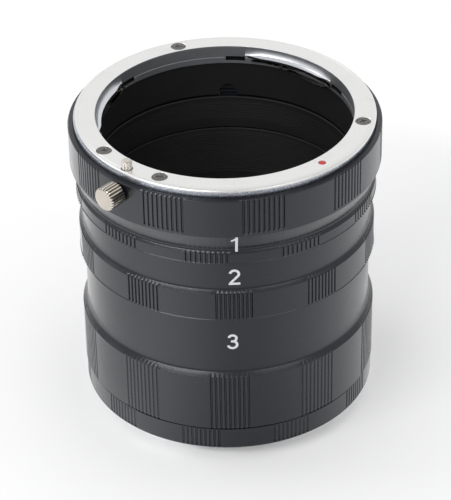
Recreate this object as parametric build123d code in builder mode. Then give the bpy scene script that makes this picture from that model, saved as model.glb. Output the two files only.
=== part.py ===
"""Set of macro extension tubes, screwed together, with a bayonet mount at each end.

Millimetres. +Z runs from the camera to the lens. The origin is the centre of the face
that seats on the camera. Azimuths are in degrees from the front, the -Y side, towards +X.
"""
from build123d import *
import math
import os

# Lengths along the axis
tube_3_length = 28.0
tube_2_length = 14.0
tube_1_length = 7.0
lens_ring_height = 8.7
flange_proud = 1.7
flange_recess = 1.3
camera_ring_floor = 0.6

# Screw threads between the sections, drawn as plain spigots and sockets
thread_clearance = 0.05
tube_spigot_length = 3.0
lens_spigot_length = 2.0
socket_floor_gap = 0.4

# Walls and steps, measured outwards from the throat
throat_radius = 27.0
tube_bore_step = 0.2
lens_ring_bore_step = 0.4
spigot_wall = 1.5
tube_3_wall = 1.8
tube_3_band_step = 1.1
tube_3_band_height = 13.3
tube_2_wall = 1.9
tube_2_band_step = 0.9
tube_2_band_height = 6.3
tube_1_wall = 2.3
tube_1_band_step = 0.7
tube_1_band_height = 2.1
tube_1_flare = 1.6
camera_ring_step = 0.2
camera_ring_bevel = 0.4
flange_width = 4.6
flange_seat_clearance = 0.05
lens_ring_rim = 1.15
lens_ring_bevel = 0.3

# Gripping grooves, cut in patches
knurl_patches = 10
knurl_pitch = 1.8
knurl_depth = 0.32
knurl_width = 0.62
knurl_margin = 0.7
lens_ring_groove_count = 10
lens_ring_grip_azimuth = 14.0
tube_1_groove_count = 9
tube_1_grip_azimuth = 28.0
tube_2_groove_count = 9
tube_2_grip_azimuth = 2.0
tube_3_groove_count = 10
tube_3_grip_azimuth = 0.0
camera_ring_groove_count = 9
camera_ring_grip_azimuth = 24.5

# Lens flange: a silver ring with three bayonet lugs below its face
flange_corner = 0.7
throat_edge = 0.2
lug_reach = 1.2
lug_depth = 2.5
lug_lip = 0.5
lug_span = 48.0
lug_azimuths = (-101.0, 25.0, 146.0)
relief_span = 9.0
relief_height = 1.0
skirt_wall = 0.9
skirt_length = 1.2
skirt_clearance = 0.1

# Lens flange screws, on a circle set from the middle of the flange's width
flange_screw_offset = -0.25
flange_screw_azimuths = (-160.2, -57.9, -27.0, 78.6)
flange_screw_head_radius = 1.65
flange_screw_shank_radius = 0.8
flange_screw_length = 5.5

# Red index mark
index_offset = -0.2
index_azimuth = 41.6
index_radius = 0.7
index_depth = 0.5
index_rise = 0.08

# Leaf springs under the lugs
leaf_setback = 0.2
leaf_width = 0.85
leaf_thickness = 0.2
leaf_drop = 0.7
leaf_root_share = 0.85
leaf_root_rise = 0.2
leaf_step_share = 0.12
leaf_fold_rise = 0.4
leaf_fold_share = 0.9
leaf_tip_share = 0.96
leaf_belly_share = 0.68
leaf_bow = 1.0
leaf_end_share = 0.11
leaf_end_drop = 0.7
leaf_fold_slope = -1.1
leaf_end_slope = 0.02
rivet_offset = 6.0
rivet_radius = 0.28
rivet_head_radius = 0.45
rivet_head_height = 0.2
rivet_depth = 0.5
rivet_clearance = 0.04

# Lens lock: a sprung pin, pulled down by a knob on the outside
lock_offset = 0.6
lock_azimuth = -41.4
lock_pin_radius = 1.08
lock_pin_rise = 1.9
lock_pin_tip = 0.25
lock_collar_radius = 1.35
lock_collar_length = 2.5
lock_running_clearance = 0.08
lock_travel = 1.9
lock_pocket_floor = 0.8
spring_wire_radius = 0.16
spring_wire_sides = 6
spring_radius = 0.95
spring_pitch = 1.05
spring_gap = 0.03
knob_radius = 2.5
knob_length = 3.85
knob_gap = 0.35
knob_flutes = 24
knob_flute_depth = 0.22
knob_bevel = 0.3
knob_stem_radius = 0.75
knob_drop = 1.15

# Spanner notch in the bottom edge of the lens ring's spigot
notch_azimuth = 178.3
notch_width = 3.9
notch_height = 2.7
notch_depth = 1.6

# Camera bayonet: a plate let into the camera ring, with a neck and three tabs
camera_ring_rim = 0.6
plate_thickness = 1.6
plate_clearance = 0.05
neck_clearance = 0.5
neck_wall = 1.9
neck_length = 3.4
tab_clearance = 0.2
tab_thickness = 1.3
tab_span = 56.0
tab_azimuths = (-73.0, 47.0, 167.0)
lock_hole_radius = 1.3
lock_hole_margin = 0.1
lock_hole_azimuth = -12.0
plate_screw_azimuths = (-135.0, -45.0, 45.0, 135.0)
plate_screw_head_radius = 0.85
plate_screw_shank_radius = 0.5
plate_screw_length = 4.2

# Fasteners
screw_clearance = 0.05
countersink_angle = 90

# Radii worked out from the walls
tube_bore_radius = throat_radius + tube_bore_step
thread_radius = tube_bore_radius + spigot_wall
socket_radius = thread_radius + thread_clearance
tube_3_plain_radius = thread_radius + tube_3_wall
tube_3_band_radius = tube_3_plain_radius + tube_3_band_step
tube_2_plain_radius = thread_radius + tube_2_wall
tube_2_band_radius = tube_2_plain_radius + tube_2_band_step
tube_1_plain_radius = thread_radius + tube_1_wall
tube_1_band_radius = tube_1_plain_radius + tube_1_band_step
tube_1_top_radius = tube_1_plain_radius + tube_1_flare
camera_ring_radius = tube_3_band_radius - camera_ring_step
flange_radius = throat_radius + flange_width
flange_middle = throat_radius + flange_width / 2
lens_ring_bore_radius = throat_radius + lens_ring_bore_step
lens_ring_radius = flange_radius + flange_seat_clearance + lens_ring_rim
lug_radius = throat_radius - lug_reach
skirt_radius = throat_radius + skirt_wall
skirt_seat_radius = skirt_radius + skirt_clearance
flange_screw_circle = flange_middle + flange_screw_offset
index_circle = flange_middle + index_offset
lock_circle = flange_middle + lock_offset
leaf_inner_radius = lug_radius + leaf_setback
leaf_outer_radius = leaf_inner_radius + leaf_width
leaf_circle = (leaf_inner_radius + leaf_outer_radius) / 2
plate_radius = camera_ring_radius - camera_ring_rim - plate_clearance
neck_radius = lug_radius - neck_clearance
neck_bore_radius = neck_radius - neck_wall
tab_radius = throat_radius - tab_clearance
lock_hole_circle = tab_radius + lock_hole_radius + lock_hole_margin
plate_screw_circle = (socket_radius + plate_radius) / 2

# Heights worked out from the lengths
tube_socket_depth = tube_spigot_length + socket_floor_gap
camera_ring_height = plate_thickness + camera_ring_floor + tube_socket_depth
tube_3_base = camera_ring_height
tube_2_base = tube_3_base + tube_3_length
tube_1_base = tube_2_base + tube_2_length
lens_ring_base = tube_1_base + tube_1_length
ledge_height = lens_ring_base + lens_ring_height
flange_top = ledge_height + flange_proud
flange_seat = ledge_height - flange_recess
lug_base = flange_top - lug_depth
skirt_base = flange_seat - skirt_length
skirt_seat = skirt_base - flange_seat_clearance

os.makedirs("parts", exist_ok=True)


def save(piece, name):
    """Label a finished piece and write it under its own name."""
    piece.part.label = name
    export_step(piece.part, f"parts/{name}.step")


def from_x_axis(azimuth):
    """Turn an azimuth from the front into an angle from +X."""
    return azimuth - 90


def spot(radius, azimuth, height):
    """Point at a radius, azimuth and height."""
    angle = math.radians(from_x_axis(azimuth))
    return (radius * math.cos(angle), radius * math.sin(angle), height)


def radial_plane(radius, azimuth, height):
    """Plane that faces outwards at a radius, with its Y along +Z."""
    outwards = spot(1, azimuth, 0)
    sideways = spot(1, azimuth + 90, 0)
    return Plane(origin=spot(radius, azimuth, height), x_dir=sideways, z_dir=outwards)


def half_plane(azimuth):
    """Plane through the axis at an azimuth, with its X outwards and its Y along +Z."""
    return Plane(origin=(0, 0, 0), x_dir=spot(1, azimuth, 0), z_dir=spot(1, azimuth - 90, 0))


def ring_sector(inner, outer, azimuth, span, height):
    """Face between two radii, centred on an azimuth."""
    start = from_x_axis(azimuth - span / 2)
    with BuildSketch(Plane.XY.offset(height)) as sector:
        with BuildLine():
            inside = CenterArc((0, 0), inner, start, span)
            outside = CenterArc((0, 0), outer, start, span)
            Line(inside @ 0, outside @ 0)
            Line(inside @ 1, outside @ 1)
        make_face()
    return sector.sketch


def grip_section(radius, azimuth, grooves, height):
    """V grooves of every gripping patch around a wall."""
    with BuildSketch(Plane.XY.offset(height)) as section:
        for index in range(grooves):
            turn = azimuth + (index - (grooves - 1) / 2) * knurl_pitch
            with PolarLocations(radius, knurl_patches, start_angle=from_x_axis(turn)):
                Polygon(
                    (-knurl_depth, 0),
                    (knurl_depth, knurl_width),
                    (knurl_depth, -knurl_width),
                    align=None,
                )
    return section.sketch


def tube(
    name,
    base,
    length,
    socket_depth,
    band_radius,
    band_height,
    plain_radius,
    top_radius,
    grooves,
    azimuth,
):
    """One extension tube: a spigot below, a socket on top and a gripping band outside."""
    top = base + length
    bevel_top = base + band_height + band_radius - plain_radius
    with BuildPart() as body:
        with BuildSketch(Plane.XZ):
            with BuildLine():
                Polyline(
                    (tube_bore_radius, base - tube_spigot_length),
                    (thread_radius, base - tube_spigot_length),
                    (thread_radius, base),
                    (band_radius, base),
                    (band_radius, base + band_height),
                    (plain_radius, bevel_top),
                    (top_radius, top),
                    (socket_radius, top),
                    (socket_radius, top - socket_depth),
                    (tube_bore_radius, top - socket_depth),
                    close=True,
                )
            make_face()
        revolve(axis=Axis.Z)
        grooves_below = grip_section(band_radius, azimuth, grooves, base)
        extrude(grooves_below, amount=bevel_top - base, mode=Mode.SUBTRACT)
    save(body, name)


def countersunk_screw(name, circle, azimuth, face, downwards, head_radius, shank_radius, length):
    """Countersunk screw whose head lies in a face; it points down or up."""
    sign = -1 if downwards else 1
    head_height = head_radius - shank_radius
    x, y, z = spot(circle, azimuth, face)
    with BuildPart() as screw:
        with BuildSketch(Plane(origin=(x, y, z), x_dir=(1, 0, 0), z_dir=(0, -1, 0))):
            with BuildLine():
                Polyline(
                    (0, 0),
                    (head_radius, 0),
                    (shank_radius, sign * head_height),
                    (shank_radius, sign * length),
                    (0, sign * length),
                    close=True,
                )
            make_face()
        revolve(axis=Axis((x, y, z), (0, 0, 1)))
    save(screw, name)


# Camera ring: the thin black ring at the camera end
with BuildPart() as camera_ring:
    with BuildSketch(Plane.XZ):
        with BuildLine():
            Polyline(
                (tube_bore_radius, plate_thickness),
                (plate_radius + plate_clearance, plate_thickness),
                (plate_radius + plate_clearance, 0),
                (camera_ring_radius - camera_ring_bevel, 0),
                (camera_ring_radius, camera_ring_bevel),
                (camera_ring_radius, camera_ring_height - camera_ring_bevel),
                (camera_ring_radius - camera_ring_bevel, camera_ring_height),
                (socket_radius, camera_ring_height),
                (socket_radius, camera_ring_height - tube_socket_depth),
                (tube_bore_radius, camera_ring_height - tube_socket_depth),
                close=True,
            )
        make_face()
    revolve(axis=Axis.Z)
    extrude(
        grip_section(camera_ring_radius, camera_ring_grip_azimuth, camera_ring_groove_count, knurl_margin),
        amount=camera_ring_height - knurl_margin,
        mode=Mode.SUBTRACT,
    )
    with Locations(*[spot(plate_screw_circle, azimuth, plate_thickness) for azimuth in plate_screw_azimuths]):
        Cylinder(
            plate_screw_shank_radius + screw_clearance,
            plate_screw_length - plate_thickness + socket_floor_gap,
            align=(Align.CENTER, Align.CENTER, Align.MIN),
            mode=Mode.SUBTRACT,
        )
save(camera_ring, "camera_ring")

# Camera bayonet, seated in the underside of the camera ring
with BuildPart() as camera_bayonet:
    with BuildSketch(Plane.XZ):
        with BuildLine():
            Polyline(
                (neck_bore_radius, -neck_length),
                (neck_radius, -neck_length),
                (neck_radius, 0),
                (plate_radius, 0),
                (plate_radius, plate_thickness),
                (neck_bore_radius, plate_thickness),
                close=True,
            )
        make_face()
    revolve(axis=Axis.Z)
    for azimuth in tab_azimuths:
        tab = ring_sector(neck_radius - plate_clearance, tab_radius, azimuth, tab_span, -neck_length)
        extrude(tab, amount=tab_thickness)
    with Locations(spot(lock_hole_circle, lock_hole_azimuth, 0)):
        Cylinder(
            lock_hole_radius,
            plate_thickness,
            align=(Align.CENTER, Align.CENTER, Align.MIN),
            mode=Mode.SUBTRACT,
        )
    for azimuth in plate_screw_azimuths:
        with Locations(Location(spot(plate_screw_circle, azimuth, 0), (180, 0, 0))):
            CounterSinkHole(
                radius=plate_screw_shank_radius + screw_clearance,
                counter_sink_radius=plate_screw_head_radius + screw_clearance,
                depth=plate_thickness,
                counter_sink_angle=countersink_angle,
            )
save(camera_bayonet, "camera_bayonet")

for index, azimuth in enumerate(plate_screw_azimuths, 1):
    countersunk_screw(
        f"bayonet_screw_{index}",
        plate_screw_circle,
        azimuth,
        0,
        False,
        plate_screw_head_radius,
        plate_screw_shank_radius,
        plate_screw_length,
    )

# The three extension tubes, longest at the camera end
tube(
    "tube_3",
    tube_3_base,
    tube_3_length,
    tube_socket_depth,
    tube_3_band_radius,
    tube_3_band_height,
    tube_3_plain_radius,
    tube_3_plain_radius,
    tube_3_groove_count,
    tube_3_grip_azimuth,
)
tube(
    "tube_2",
    tube_2_base,
    tube_2_length,
    tube_socket_depth,
    tube_2_band_radius,
    tube_2_band_height,
    tube_2_plain_radius,
    tube_2_plain_radius,
    tube_2_groove_count,
    tube_2_grip_azimuth,
)
tube(
    "tube_1",
    tube_1_base,
    tube_1_length,
    lens_spigot_length + socket_floor_gap,
    tube_1_band_radius,
    tube_1_band_height,
    tube_1_plain_radius,
    tube_1_top_radius,
    tube_1_groove_count,
    tube_1_grip_azimuth,
)

# Lens ring: the body of the lens end, which holds the lock
lock_x, lock_y, _ = spot(lock_circle, lock_azimuth, 0)
knob_height = flange_seat - knob_drop
slot_length = 2 * (knob_stem_radius + lock_running_clearance) + lock_travel
pocket_floor = lens_ring_base + lock_pocket_floor
with BuildPart() as lens_ring:
    with BuildSketch(Plane.XZ):
        with BuildLine():
            Polyline(
                (lens_ring_bore_radius, lens_ring_base - lens_spigot_length),
                (thread_radius, lens_ring_base - lens_spigot_length),
                (thread_radius, lens_ring_base),
                (lens_ring_radius - lens_ring_bevel, lens_ring_base),
                (lens_ring_radius, lens_ring_base + lens_ring_bevel),
                (lens_ring_radius, ledge_height - lens_ring_bevel),
                (lens_ring_radius - lens_ring_bevel, ledge_height),
                (flange_radius + flange_seat_clearance, ledge_height),
                (flange_radius + flange_seat_clearance, flange_seat),
                (skirt_seat_radius, flange_seat),
                (skirt_seat_radius, skirt_seat),
                (lens_ring_bore_radius, skirt_seat),
                close=True,
            )
        make_face()
    revolve(axis=Axis.Z)
    extrude(
        grip_section(
            lens_ring_radius,
            lens_ring_grip_azimuth,
            lens_ring_groove_count,
            lens_ring_base + knurl_margin,
        ),
        amount=lens_ring_height - knurl_margin,
        mode=Mode.SUBTRACT,
    )
    with Locations((lock_x, lock_y, flange_seat)):
        Hole(lock_collar_radius + lock_running_clearance, depth=flange_seat - pocket_floor)
    slot_middle = knob_height - lock_travel / 2
    with BuildSketch(radial_plane(lock_circle, lock_azimuth, slot_middle)):
        SlotOverall(slot_length, 2 * (knob_stem_radius + lock_running_clearance), rotation=90)
    extrude(amount=lens_ring_radius, mode=Mode.SUBTRACT)
    notch_base = lens_ring_base - lens_spigot_length
    with BuildSketch(radial_plane(lens_ring_bore_radius, notch_azimuth, notch_base)):
        SlotOverall(2 * notch_height, notch_width, rotation=90)
    extrude(amount=notch_depth, both=True, mode=Mode.SUBTRACT)
    with Locations(*[spot(flange_screw_circle, azimuth, flange_seat) for azimuth in flange_screw_azimuths]):
        Hole(
            flange_screw_shank_radius + screw_clearance,
            depth=flange_screw_length - flange_proud - flange_recess + socket_floor_gap,
        )
save(lens_ring, "lens_ring")

# Lens flange, let into the top of the lens ring
with BuildPart() as lens_flange:
    with BuildSketch(Plane.XZ):
        with BuildLine():
            Polyline(
                (throat_radius, skirt_base),
                (skirt_radius, skirt_base),
                (skirt_radius, flange_seat),
                (flange_radius, flange_seat),
                (flange_radius, flange_top),
                (throat_radius, flange_top),
                close=True,
            )
        make_face()
    revolve(axis=Axis.Z)
    rims = lens_flange.edges().filter_by(GeomType.CIRCLE).group_by(Axis.Z)[-1].sort_by(SortBy.RADIUS)
    fillet(rims[-1], flange_corner)
    chamfer(rims[0], throat_edge)
    for azimuth in lug_azimuths:
        with BuildSketch(half_plane(azimuth - lug_span / 2)):
            with BuildLine():
                Polyline(
                    (throat_radius, lug_base + lug_lip + lug_reach),
                    (skirt_radius, lug_base + lug_lip + lug_reach),
                    (skirt_radius, lug_base),
                    (lug_radius, lug_base),
                    (lug_radius, lug_base + lug_lip),
                )
                RadiusArc(
                    (lug_radius, lug_base + lug_lip),
                    (throat_radius, lug_base + lug_lip + lug_reach),
                    -lug_reach,
                )
            make_face()
        revolve(axis=Axis.Z, revolution_arc=lug_span)
        for side in (-1, 1):
            relief = ring_sector(
                throat_radius - throat_edge,
                skirt_radius,
                azimuth + side * (lug_span + relief_span) / 2,
                relief_span,
                lug_base - relief_height,
            )
            extrude(relief, amount=relief_height, mode=Mode.SUBTRACT)
        with Locations(spot(leaf_circle, azimuth + rivet_offset, lug_base)):
            Cylinder(
                rivet_radius + rivet_clearance,
                rivet_depth,
                align=(Align.CENTER, Align.CENTER, Align.MIN),
                mode=Mode.SUBTRACT,
            )
    with Locations(*[spot(flange_screw_circle, azimuth, flange_top) for azimuth in flange_screw_azimuths]):
        CounterSinkHole(
            radius=flange_screw_shank_radius + screw_clearance,
            counter_sink_radius=flange_screw_head_radius + screw_clearance,
            depth=flange_top - flange_seat,
            counter_sink_angle=countersink_angle,
        )
    with Locations((lock_x, lock_y, flange_top)):
        Hole(lock_pin_radius + lock_running_clearance, depth=flange_top - flange_seat)
    with Locations(spot(index_circle, index_azimuth, flange_top)):
        Hole(index_radius + screw_clearance, depth=index_depth)
save(lens_flange, "lens_flange")

for index, azimuth in enumerate(flange_screw_azimuths, 1):
    countersunk_screw(
        f"flange_screw_{index}",
        flange_screw_circle,
        azimuth,
        flange_top,
        True,
        flange_screw_head_radius,
        flange_screw_shank_radius,
        flange_screw_length,
    )

# Index mark for lining the lens up
with BuildPart() as index_mark:
    with BuildSketch(Plane.XY.offset(flange_top - index_depth)):
        with Locations(spot(index_circle, index_azimuth, 0)):
            Circle(index_radius)
    extrude(amount=index_depth + index_rise)
save(index_mark, "index_mark")

# Lock pin: a stepped pin whose collar takes the knob's stem
collar_top = flange_seat
collar_base = collar_top - lock_collar_length
with BuildPart() as lock_pin:
    with BuildSketch(Plane(origin=(lock_x, lock_y, 0), x_dir=(1, 0, 0), z_dir=(0, -1, 0))):
        with BuildLine():
            Polyline(
                (0, collar_base),
                (lock_collar_radius, collar_base),
                (lock_collar_radius, collar_top),
                (lock_pin_radius, collar_top),
                (lock_pin_radius, flange_top + lock_pin_rise - lock_pin_tip),
                (lock_pin_radius - lock_pin_tip, flange_top + lock_pin_rise),
                (0, flange_top + lock_pin_rise),
                close=True,
            )
        make_face()
    revolve(axis=Axis((lock_x, lock_y, 0), (0, 0, 1)))
    with BuildSketch(radial_plane(lock_circle, lock_azimuth, knob_height)):
        Circle(knob_stem_radius + screw_clearance)
    extrude(amount=lock_collar_radius, mode=Mode.SUBTRACT)
save(lock_pin, "lock_pin")

# Release knob, screwed into the lock pin through a slot in the lens ring
knob_base_radius = lens_ring_radius + knob_gap
with BuildPart() as release_knob:
    with BuildSketch(radial_plane(knob_base_radius, lock_azimuth, knob_height)):
        Circle(knob_radius)
        with PolarLocations(knob_radius, knob_flutes):
            Polygon(
                (-knob_flute_depth, 0),
                (knob_flute_depth, knob_flute_depth),
                (knob_flute_depth, -knob_flute_depth),
                align=None,
                mode=Mode.SUBTRACT,
            )
    extrude(amount=knob_length - knob_bevel)
    with BuildSketch(radial_plane(knob_base_radius + knob_length - knob_bevel, lock_azimuth, knob_height)):
        Circle(knob_radius)
    extrude(amount=knob_bevel, taper=45)
    with BuildSketch(radial_plane(lock_circle + screw_clearance, lock_azimuth, knob_height)):
        Circle(knob_stem_radius)
    extrude(amount=knob_base_radius - lock_circle)
save(release_knob, "release_knob")

# Lock spring: coils between the pocket's floor and the pin's collar
spring_start = pocket_floor + spring_wire_radius + spring_gap
spring_height = collar_base - pocket_floor - 2 * (spring_wire_radius + spring_gap)
with BuildPart() as lock_spring:
    with BuildLine(Plane((lock_x, lock_y, spring_start))):
        coil = Helix(spring_pitch, spring_height, spring_radius)
    with BuildSketch(Plane(origin=coil @ 0, z_dir=coil % 0)):
        RegularPolygon(spring_wire_radius, spring_wire_sides)
    sweep(path=coil, is_frenet=True)
save(lock_spring, "lock_spring")

# Leaf springs: each strip runs past its rivet to the lug's end, then folds back and bows below the lug
leaf_level = lug_base - leaf_drop
leaf_reach = leaf_outer_radius * math.sin(math.radians(lug_span / 2))
leaf_slant = leaf_root_rise / (leaf_reach * (leaf_root_share - leaf_step_share))
rivet_place = leaf_circle * math.sin(math.radians(rivet_offset))
rivet_level = leaf_level + leaf_slant * (rivet_place - leaf_step_share * leaf_reach)
for index, azimuth in enumerate(lug_azimuths, 1):
    rivet_spot = spot(leaf_circle, azimuth + rivet_offset, rivet_level)
    with BuildPart() as leaf_spring:
        with BuildSketch(radial_plane(0, azimuth, leaf_level)):
            with BuildLine():
                Polyline(
                    (leaf_root_share * leaf_reach, leaf_root_rise),
                    (leaf_step_share * leaf_reach, 0),
                    (-leaf_step_share * leaf_reach, leaf_fold_rise),
                    (-leaf_fold_share * leaf_reach, leaf_fold_rise),
                    (-leaf_tip_share * leaf_reach, leaf_fold_rise / 2),
                    (-leaf_fold_share * leaf_reach, 0),
                )
                Spline(
                    (-leaf_fold_share * leaf_reach, 0),
                    (-leaf_belly_share * leaf_reach, -leaf_bow),
                    (leaf_end_share * leaf_reach, -leaf_end_drop),
                    tangents=((1, leaf_fold_slope), (1, leaf_end_slope)),
                )
            trace(line_width=leaf_thickness)
        extrude(amount=leaf_outer_radius + leaf_drop)
        with BuildSketch(Plane.XY.offset(leaf_level - 2 * leaf_bow)):
            Circle(leaf_outer_radius)
            Circle(leaf_inner_radius, mode=Mode.SUBTRACT)
        extrude(amount=2 * leaf_bow + leaf_drop, mode=Mode.INTERSECT)
        with Locations(rivet_spot):
            Hole(rivet_radius + rivet_clearance)
    save(leaf_spring, f"leaf_spring_{index}")

    # Its rivet: a collar above the strip, a head below it and a shank let into the lug
    collar_end = leaf_thickness / 2 + rivet_clearance
    with BuildPart() as spring_rivet:
        with BuildSketch(Plane(origin=rivet_spot, x_dir=(1, 0, 0), z_dir=(0, -1, 0))):
            with BuildLine():
                Polyline(
                    (0, lug_base + rivet_depth - rivet_level),
                    (rivet_radius, lug_base + rivet_depth - rivet_level),
                    (rivet_radius, lug_base - rivet_level),
                    (rivet_head_radius, lug_base - rivet_level),
                    (rivet_head_radius, collar_end),
                    (rivet_radius, collar_end),
                    (rivet_radius, -collar_end),
                    (rivet_head_radius, -collar_end),
                    (rivet_head_radius, -collar_end - rivet_head_height),
                    (0, -collar_end - rivet_head_height),
                    close=True,
                )
            make_face()
        revolve(axis=Axis(rivet_spot, (0, 0, 1)))
    save(spring_rivet, f"spring_rivet_{index}")
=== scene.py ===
"""Looks of a set of macro extension tubes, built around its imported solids.

Sizes in the classes are millimetres and degrees. Heights run along the tubes' axis from the face
that seats on the camera, and azimuths run from the front, the -Y side, towards +X.
"""
from __future__ import annotations

import logging
import math
from dataclasses import dataclass
from enum import Enum
from typing import Any, Callable, Sequence

import bmesh
import bpy
from mathutils import Matrix, Vector
from mathutils.geometry import tessellate_polygon


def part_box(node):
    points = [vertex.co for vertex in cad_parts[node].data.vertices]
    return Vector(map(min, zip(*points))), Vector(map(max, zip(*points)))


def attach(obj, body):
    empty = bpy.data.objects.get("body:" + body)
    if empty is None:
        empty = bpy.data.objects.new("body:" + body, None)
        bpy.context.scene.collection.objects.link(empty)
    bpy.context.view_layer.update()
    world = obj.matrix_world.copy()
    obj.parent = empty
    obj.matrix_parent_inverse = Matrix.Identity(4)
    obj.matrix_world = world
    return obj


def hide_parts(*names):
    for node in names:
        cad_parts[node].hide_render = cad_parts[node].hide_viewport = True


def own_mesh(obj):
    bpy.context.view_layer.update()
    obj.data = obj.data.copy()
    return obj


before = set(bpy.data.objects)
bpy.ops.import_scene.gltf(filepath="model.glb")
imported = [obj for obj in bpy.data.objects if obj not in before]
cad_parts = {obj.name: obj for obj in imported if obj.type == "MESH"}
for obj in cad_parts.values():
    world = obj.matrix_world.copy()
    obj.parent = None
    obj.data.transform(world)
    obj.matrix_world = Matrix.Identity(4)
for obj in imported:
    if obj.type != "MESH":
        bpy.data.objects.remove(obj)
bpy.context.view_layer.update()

MM = 0.001
SMOOTH_ANGLE = math.radians(34)
LOG = logging.getLogger("extension_tubes")
# Ridge tops carry a lighter colour: a painted highlight for the bright floor that they mirror
RIDGE_HIGHLIGHT = "ridge_wear"
# Groove floors carry a dark brown: painted shade
GROOVE_SHADE = "groove_dirt"

Point = tuple[float, float]
Outline = list[Point]
Corners = list[tuple[float, ...]]
Colour = tuple[float, float, float, float]

# Heights that several pieces share
TUBE_LENGTHS = (28.0, 14.0, 7.0)
TUBE_3_BASE = 5.6
TUBE_2_BASE = TUBE_3_BASE + TUBE_LENGTHS[0]
TUBE_1_BASE = TUBE_2_BASE + TUBE_LENGTHS[1]
LENS_RING_BASE = TUBE_1_BASE + TUBE_LENGTHS[2]
FLANGE_SEAT = 62.0
FLANGE_TOP = 65.0
# Place and travel of the lens lock
LOCK_CIRCLE = 29.9
LOCK_AZIMUTH = -41.4
LOCK_TRAVEL = 1.9


class Body(Enum):
    """Moving bodies that the pieces ride on."""

    CAMERA = "camera_section"
    TUBE_3 = "tube_3_section"
    TUBE_2 = "tube_2_section"
    TUBE_1 = "tube_1_section"
    LENS = "lens_section"
    LOCK = "lock"


class Slot(Enum):
    """Material slots of the record."""

    BLACK = "black_anodised"
    SILVER = "satin_silver"
    SCREW = "dark_screw"
    RED = "red_paint"
    SPRING = "spring_steel"
    NICKEL = "nickel"


# Node trees


def math_method(operation: str, reflected: bool = False) -> Callable[..., Number]:
    """Make a method that adds one Math node.

    Args:
        operation: Blender's name of the operation.
        reflected: Whether the number stands on the right.

    Returns:
        The method; a function of one number leaves its second operand unused.
    """

    def method(number: Number, other: Any = 0.0) -> Number:
        """Result of the Math node.

        Args:
            number: The number that the method belongs to.
            other: The other operand.

        Returns:
            The result.
        """
        first, second = (other, number) if reflected else (number, other)
        settings = {"operation": operation}
        node = number.tree.node("ShaderNodeMath", settings, {0: first, 1: second})
        return Number(number.tree, node.outputs[0])

    return method


class Number:
    """A number in a node tree, on which Python's operators add Math nodes."""

    def __init__(self, tree: Tree, socket: bpy.types.NodeSocket) -> None:
        """Keep the tree and the socket that gives the number."""
        self.tree = tree
        self.socket = socket

    __add__ = math_method("ADD")
    __radd__ = math_method("ADD", reflected=True)
    __sub__ = math_method("SUBTRACT")
    __rsub__ = math_method("SUBTRACT", reflected=True)
    __mul__ = math_method("MULTIPLY")
    __rmul__ = math_method("MULTIPLY", reflected=True)
    __truediv__ = math_method("DIVIDE")
    __rtruediv__ = math_method("DIVIDE", reflected=True)
    __pow__ = math_method("POWER")
    __gt__ = math_method("GREATER_THAN")
    __lt__ = math_method("LESS_THAN")
    __abs__ = math_method("ABSOLUTE")
    floor = math_method("FLOOR")
    sine = math_method("SINE")
    cosine = math_method("COSINE")
    at_least = math_method("MAXIMUM")
    at_most = math_method("MINIMUM")

    def clamped(self) -> Number:
        """The number, held between 0 and 1."""
        return self.at_least(0.0).at_most(1.0)

    def above(self, threshold: float, gain: float) -> Number:
        """How far the number is above a threshold, times a gain, between 0 and 1."""
        return ((self - threshold) * gain).clamped()

    def swing(self, size: float) -> Number:
        """How far the number is from a half, times a size."""
        return (self - 0.5) * size

    def split(self, count: Any) -> tuple[Number, Number]:
        """How many whole counts fit into a whole number, and what is left."""
        whole = ((self + 0.5) / count).floor()
        return whole, self - whole * count


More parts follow.
